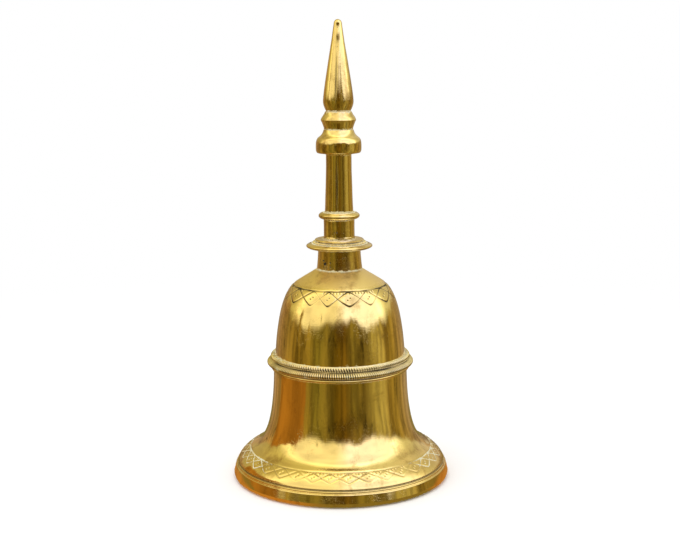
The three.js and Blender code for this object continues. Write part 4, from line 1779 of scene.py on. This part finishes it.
@dataclass(frozen=True)
class Surroundings:
    """What polished brass mirrors: dim warm surroundings at the horizon under a bright sky.

    The horizon's stops are at angles round the bell, with 0 behind the camera. The stops of the sky
    and of its sides run from -1 to 1, from the front to the back and from left to right.
    """

    backdrop: Colour = (1.0, 1.0, 1.0)
    fill: Colour = (0.98, 0.98, 0.98)
    horizon: Stops = (
        (-180, (0.46, 0.36, 0.24)),
        (-137, (0.42, 0.29, 0.15)),
        (-106, (0.33, 0.25, 0.08)),
        (-81, (0.22, 0.16, 0.03)),
        (-60, (0.27, 0.21, 0.05)),
        (-41, (0.20, 0.18, 0.04)),
        (-23, (0.25, 0.21, 0.055)),
        (-8, (0.10, 0.07, 0.008)),
        (8, (0.16, 0.105, 0.016)),
        (23, (0.20, 0.17, 0.045)),
        (41, (0.25, 0.20, 0.055)),
        (62, (0.37, 0.34, 0.14)),
        (80, (0.44, 0.40, 0.18)),
        (90, (0.20, 0.15, 0.04)),
        (106, (0.32, 0.25, 0.07)),
        (137, (0.36, 0.28, 0.16)),
        (180, (0.46, 0.36, 0.24)),
    )
    sky: Stops = (
        (-1.0, (1.25, 1.33, 1.60)),
        (-0.3, (1.25, 1.33, 1.60)),
        (-0.05, (1.80, 1.88, 2.00)),
        (0.1, (1.25, 1.32, 1.25)),
        (0.22, (0.86, 0.90, 0.66)),
        (0.42, (0.68, 0.68, 0.46)),
        (1.0, (0.55, 0.52, 0.38)),
    )
    sides: Stops = (
        (-1.0, (0.84, 0.80, 0.62)),
        (-0.15, (0.90, 0.86, 0.66)),
        (0.05, (0.98, 0.98, 1.00)),
        (0.2, (1.12, 1.16, 1.50)),
        (1.0, (1.05, 1.08, 1.25)),
    )
    treeline: float = 0.1
    treeline_rise: float = 0.15
    treeline_noise: float = 0.3
    towers: float = 0.16

    def wide_ramp(self, sheet: NodeSheet, along: Socket, stops: Stops) -> Socket:
        """Adds a colour ramp whose stops run from -1 to 1.

        Args:
            sheet: The world's nodes.
            along: The place on the ramp.
            stops: The ramp's places and their colours.

        Returns:
            The colour at the place.
        """
        spread = tuple(((place + 1) / 2, colour) for place, colour in stops)
        return sheet.ramp(sheet.math("MULTIPLY_ADD", along, 0.5, 0.5), spread)

    def low_part(self, sheet: NodeSheet, x: Socket, y: Socket, around: Socket) -> Socket:
        """Makes the surroundings below the treeline, with soft upright streaks and thin dark poles.

        Args:
            sheet: The world's nodes.
            x: How far right a direction points.
            y: How far back it points.
            around: The direction with its height flattened, so that patterns on it stand upright.

        Returns:
            The colour.
        """
        facing = sheet.joined(sheet.times(y, -1), x, 0)
        turn = sheet.node("TexGradient", {"Vector": facing}, gradient_type="RADIAL").outputs["Fac"]
        colour = sheet.ramp(turn, tuple((0.5 + angle / 360, colour) for angle, colour in self.horizon))
        streaks = sheet.span(sheet.noise(around, 6, 4, 0.7), 0.3, 0.7, 0.45, 1.6)
        poles = sheet.span(sheet.math("ABSOLUTE", sheet.swell(around, 5, 1)), 0, 0.02, 0.35, 1)
        return sheet.dimmed(colour, sheet.times(streaks, poles))

    def treeline_level(self, sheet: NodeSheet, ahead: Socket, around: Socket) -> Socket:
        """Makes the ragged edge of the sky, which rises towards the front and has a few towers.

        Args:
            sheet: The world's nodes.
            ahead: How far to the front a direction points.
            around: The direction with its height flattened.

        Returns:
            The edge's level.
        """
        rise = sheet.span(ahead, 0.55, 1, self.treeline, self.treeline + self.treeline_rise)
        ragged = sheet.times(sheet.swell(around, 3, 2, 0.5), self.treeline_noise)
        towers = sheet.span(sheet.noise(around, 4.5, 1), 0.58, 0.68, 0, self.towers)
        return sheet.total(ragged, rise, towers)

    def build(self) -> bpy.types.World:
        """Makes the world: plain and pale to the camera and to matt surfaces, and this to mirrors."""
        world = bpy.data.worlds.new("surroundings")
        sheet = NodeSheet.blank(world)
        direction = sheet.node("TexCoord").outputs["Generated"]
        x, y, z = sheet.parts(direction)
        level = sheet.off_axis(x, y, 1e-4)
        around = sheet.joined(sheet.math("DIVIDE", x, level), sheet.math("DIVIDE", y, level),
                              sheet.times(z, 0.25))
        cloud = sheet.span(sheet.noise(direction, 2.2, 3), 0.3, 0.7, 0.85, 1.15)
        sky = sheet.product(self.wide_ramp(sheet, y, self.sky), self.wide_ramp(sheet, x, self.sides))
        ahead = sheet.math("DIVIDE", sheet.times(y, -1), level)
        edge = self.treeline_level(sheet, ahead, around)
        share = sheet.span(z, sheet.minus(edge, 0.05), sheet.total(edge, 0.08))
        mirrored = sheet.mix(share, self.low_part(sheet, x, y, around), sheet.dimmed(sky, cloud))
        path = sheet.node("LightPath")
        plain = sheet.mix(path.outputs["Is Camera Ray"], self.fill, self.backdrop)
        matt = sheet.most(path.outputs["Is Camera Ray"], path.outputs["Is Diffuse Ray"])
        background = sheet.node("Background", {"Color": sheet.mix(matt, mirrored, plain)})
        sheet.node("OutputWorld", {"Surface": background.outputs[0]})
        world.cycles.sampling_method = "NONE"
        return world


@dataclass(frozen=True)
class Floor:
    """A plain pale floor that fades out into the backdrop, and near it glows warm and dim to mirrors only: a
    painted reflection.

    It can't be seen from below.
    """

    radius: float = 0.9
    border: float = 0.3
    level: float = -0.0003
    fade: Point = (0.2, 0.5)
    pale: Colour = (0.95, 0.95, 0.95)
    warm: Colour = (0.58, 0.28, 0.065)
    shade: Colour = (0.26, 0.21, 0.065)
    under: Colour = (0.50, 0.46, 0.38)
    near: Point = (0.13, 0.15)
    foot: Point = (0.041, 0.043)
    warm_left: Point = (-0.1, -0.5)
    warm_right: Point = (0.78, 0.93)
    warm_reach: Point = (0.056, 0.08)

    def build(self) -> Piece:
        """Makes the floor disc in its material."""
        bpy.ops.object.select_all(action="DESELECT")
        bpy.ops.mesh.primitive_circle_add(vertices=96, radius=self.radius, fill_type="NGON",
                                          location=(0, 0, self.level))
        floor = bpy.context.object
        floor.name = floor.data.name = "floor"
        bpy.ops.object.mode_set(mode="EDIT")
        bpy.ops.mesh.select_all(action="SELECT")
        bpy.ops.mesh.inset(thickness=self.border, depth=0)
        bpy.ops.object.mode_set(mode="OBJECT")
        floor.data.materials.append(self.material())
        return floor

    def mirrored_colour(self, sheet: NodeSheet, x: Socket, distance: Socket) -> Socket:
        """Makes the glow that only mirrors see, a painted reflection: pale under the bell, warm beside it
        and shaded in front.

        Args:
            sheet: The material's nodes.
            x: How far right a place is.
            distance: Its distance from the bell's axis.

        Returns:
            The colour.
        """
        side = sheet.math("DIVIDE", x, sheet.most(distance, 0.001))
        beside = sheet.most(sheet.span(side, *self.warm_left), sheet.span(side, *self.warm_right))
        beside = sheet.times(beside, sheet.span(distance, *self.warm_reach, 1, 0))
        around = sheet.mix(beside, self.shade, self.warm)
        return sheet.mix(sheet.span(distance, *self.foot), self.under, around)

    def material(self) -> bpy.types.Material:
        """Makes the floor's material."""
        material = bpy.data.materials.new("pale_floor")
        sheet = NodeSheet.blank(material)
        x, y = sheet.parts(sheet.object_place())[:2]
        distance = sheet.off_axis(x, y)
        clear = sheet.node("BsdfTransparent").outputs[0]
        diffuse = sheet.node("BsdfDiffuse", {"Color": self.pale}).outputs[0]
        fading = sheet.blend(sheet.span(distance, *self.fade), diffuse, clear)
        # Painted reflection: a glow that only mirrors see near the bell.
        glow = sheet.node("Emission", {"Color": self.mirrored_colour(sheet, x, distance)}).outputs[0]
        mirrored = sheet.blend(sheet.span(distance, *self.near, 1, 0), clear, glow)
        above = sheet.blend(sheet.node("LightPath").outputs["Is Glossy Ray"], fading, mirrored)
        whole = sheet.blend(sheet.node("NewGeometry").outputs["Backfacing"], above, clear)
        sheet.node("OutputMaterial", {"Surface": whole})
        return material


@dataclass(frozen=True)
class WarmCard:
    """A bent card to the left of the bell that glows copper and only shows mirrored in the brass: a painted
    reflection.
    """

    radius: float = 0.095
    height: float = 0.042
    start: float = -106
    end: float = -46
    steps: int = 24
    raggedness: float = 0.03
    front_edge: Point = (-0.06, -0.054)
    top_edge: Point = (0.039, 0.033)
    colour: Colour = (0.50, 0.245, 0.045)
    dimmest: float = 0.45

    def build(self) -> Piece:
        """Makes the card by spinning an upright edge round the bell."""
        upright = [Vector((0, -self.radius, level)) for level in (0, self.height / 2, self.height)]
        card = extruded_chain("warm_card", upright)
        bpy.ops.mesh.spin(steps=self.steps, angle=math.radians(self.end - self.start), center=(0, 0, 0),
                          axis=(0, 0, 1))
        bpy.ops.mesh.select_all(action="SELECT")
        bpy.ops.object.mode_set(mode="OBJECT")
        card.rotation_euler.z = math.radians(self.end)
        bpy.ops.object.transform_apply(location=False, rotation=True, scale=False)
        card.data.materials.append(self.material())
        card.visible_camera = card.visible_diffuse = card.visible_shadow = False
        return card

    def material(self) -> bpy.types.Material:
        """Makes the card's uneven glow, which ends raggedly in front and at the top."""
        material = bpy.data.materials.new("warm_card")
        sheet = NodeSheet.blank(material)
        place = sheet.object_place()
        y, z = sheet.parts(place)[1:]
        dim = tuple(self.dimmest * channel for channel in self.colour)
        cloud = sheet.span(sheet.noise(place, 28, 4, 0.6, 0.5), 0.3, 0.7)
        # Painted reflection: the card's glow, seen only by mirrors.
        glow = sheet.node("Emission", {"Color": sheet.mix(cloud, dim, self.colour)}).outputs[0]
        ragged = sheet.swell(place, 45, 4, 0.6)
        behind = sheet.span(sheet.math("MULTIPLY_ADD", ragged, self.raggedness, y), *self.front_edge)
        below = sheet.span(sheet.math("MULTIPLY_ADD", ragged, self.raggedness, z), *self.top_edge)
        clear = sheet.node("BsdfTransparent").outputs[0]
        sheet.node("OutputMaterial", {"Surface": sheet.blend(sheet.times(behind, below), clear, glow)})
        return material


@dataclass(frozen=True)
class Camera:
    """The camera, a little above the bell and level with its front."""

    distance: float = 0.521
    elevation: float = 9.7
    aim_share: float = 0.46
    aim_across: float = 0.0002
    lens: float = 66.18
    sensor_width: float = 36
    roll: float = -0.42

    def build(self) -> bpy.types.Object:
        """Makes the camera and gives it to the scene."""
        data = bpy.data.cameras.new("camera")
        data.lens = self.lens
        data.sensor_width = self.sensor_width
        camera = bpy.data.objects.new("camera", data)
        bpy.context.scene.collection.objects.link(camera)
        low, high = cad_box
        aim = Vector((self.aim_across, 0, low.z + self.aim_share * (high.z - low.z)))
        back, up = polar(self.elevation, self.distance)
        camera.location = aim + Vector((0, -back, up))
        facing = (aim - camera.location).to_track_quat("-Z", "Y").to_euler()
        facing.rotate_axis("Z", math.radians(self.roll))
        camera.rotation_euler = facing
        bpy.context.scene.camera = camera
        return camera


@dataclass(frozen=True)
class Softbox:
    """A large soft lamp above the bell, which draws its faint shadow on the floor."""

    size: float = 0.7
    place: Vertex = (-0.15, -0.2, 0.8)
    power: float = 2.0

    def build(self) -> bpy.types.Object:
        """Makes the lamp; brass doesn't mirror it."""
        data = bpy.data.lights.new("softbox", "AREA")
        data.size = self.size
        data.energy = self.power
        lamp = bpy.data.objects.new("softbox", data)
        bpy.context.scene.collection.objects.link(lamp)
        lamp.location = self.place
        lamp.rotation_euler = (-lamp.location).to_track_quat("-Z", "Y").to_euler()
        lamp.visible_glossy = False
        return lamp


@dataclass(frozen=True)
class Studio:
    """Everything round the bell: surroundings, floor, card, lamp and camera."""

    surroundings: Surroundings = Surroundings()
    floor: Floor = Floor()
    warm_card: WarmCard = WarmCard()
    softbox: Softbox = Softbox()
    camera: Camera = Camera()

    def build(self) -> None:
        """Sets the studio up."""
        scene = bpy.context.scene
        scene.world = self.surroundings.build()
        scene.view_settings.view_transform = "Standard"
        self.floor.build()
        self.warm_card.build()
        self.softbox.build()
        self.camera.build()


def main() -> None:
    """Builds the studio and the bell's sub-assemblies, from the outside in."""
    Studio().build()
    palette = Palette.build()
    for assembly in (BellBody(), WaistBand(), Flange(), Grip(), Finial(), Fastening(), Clapper()):
        assembly.dress(palette)
        log.info("%s is in place", type(assembly).__name__)


if __name__ == "__main__":
    main()
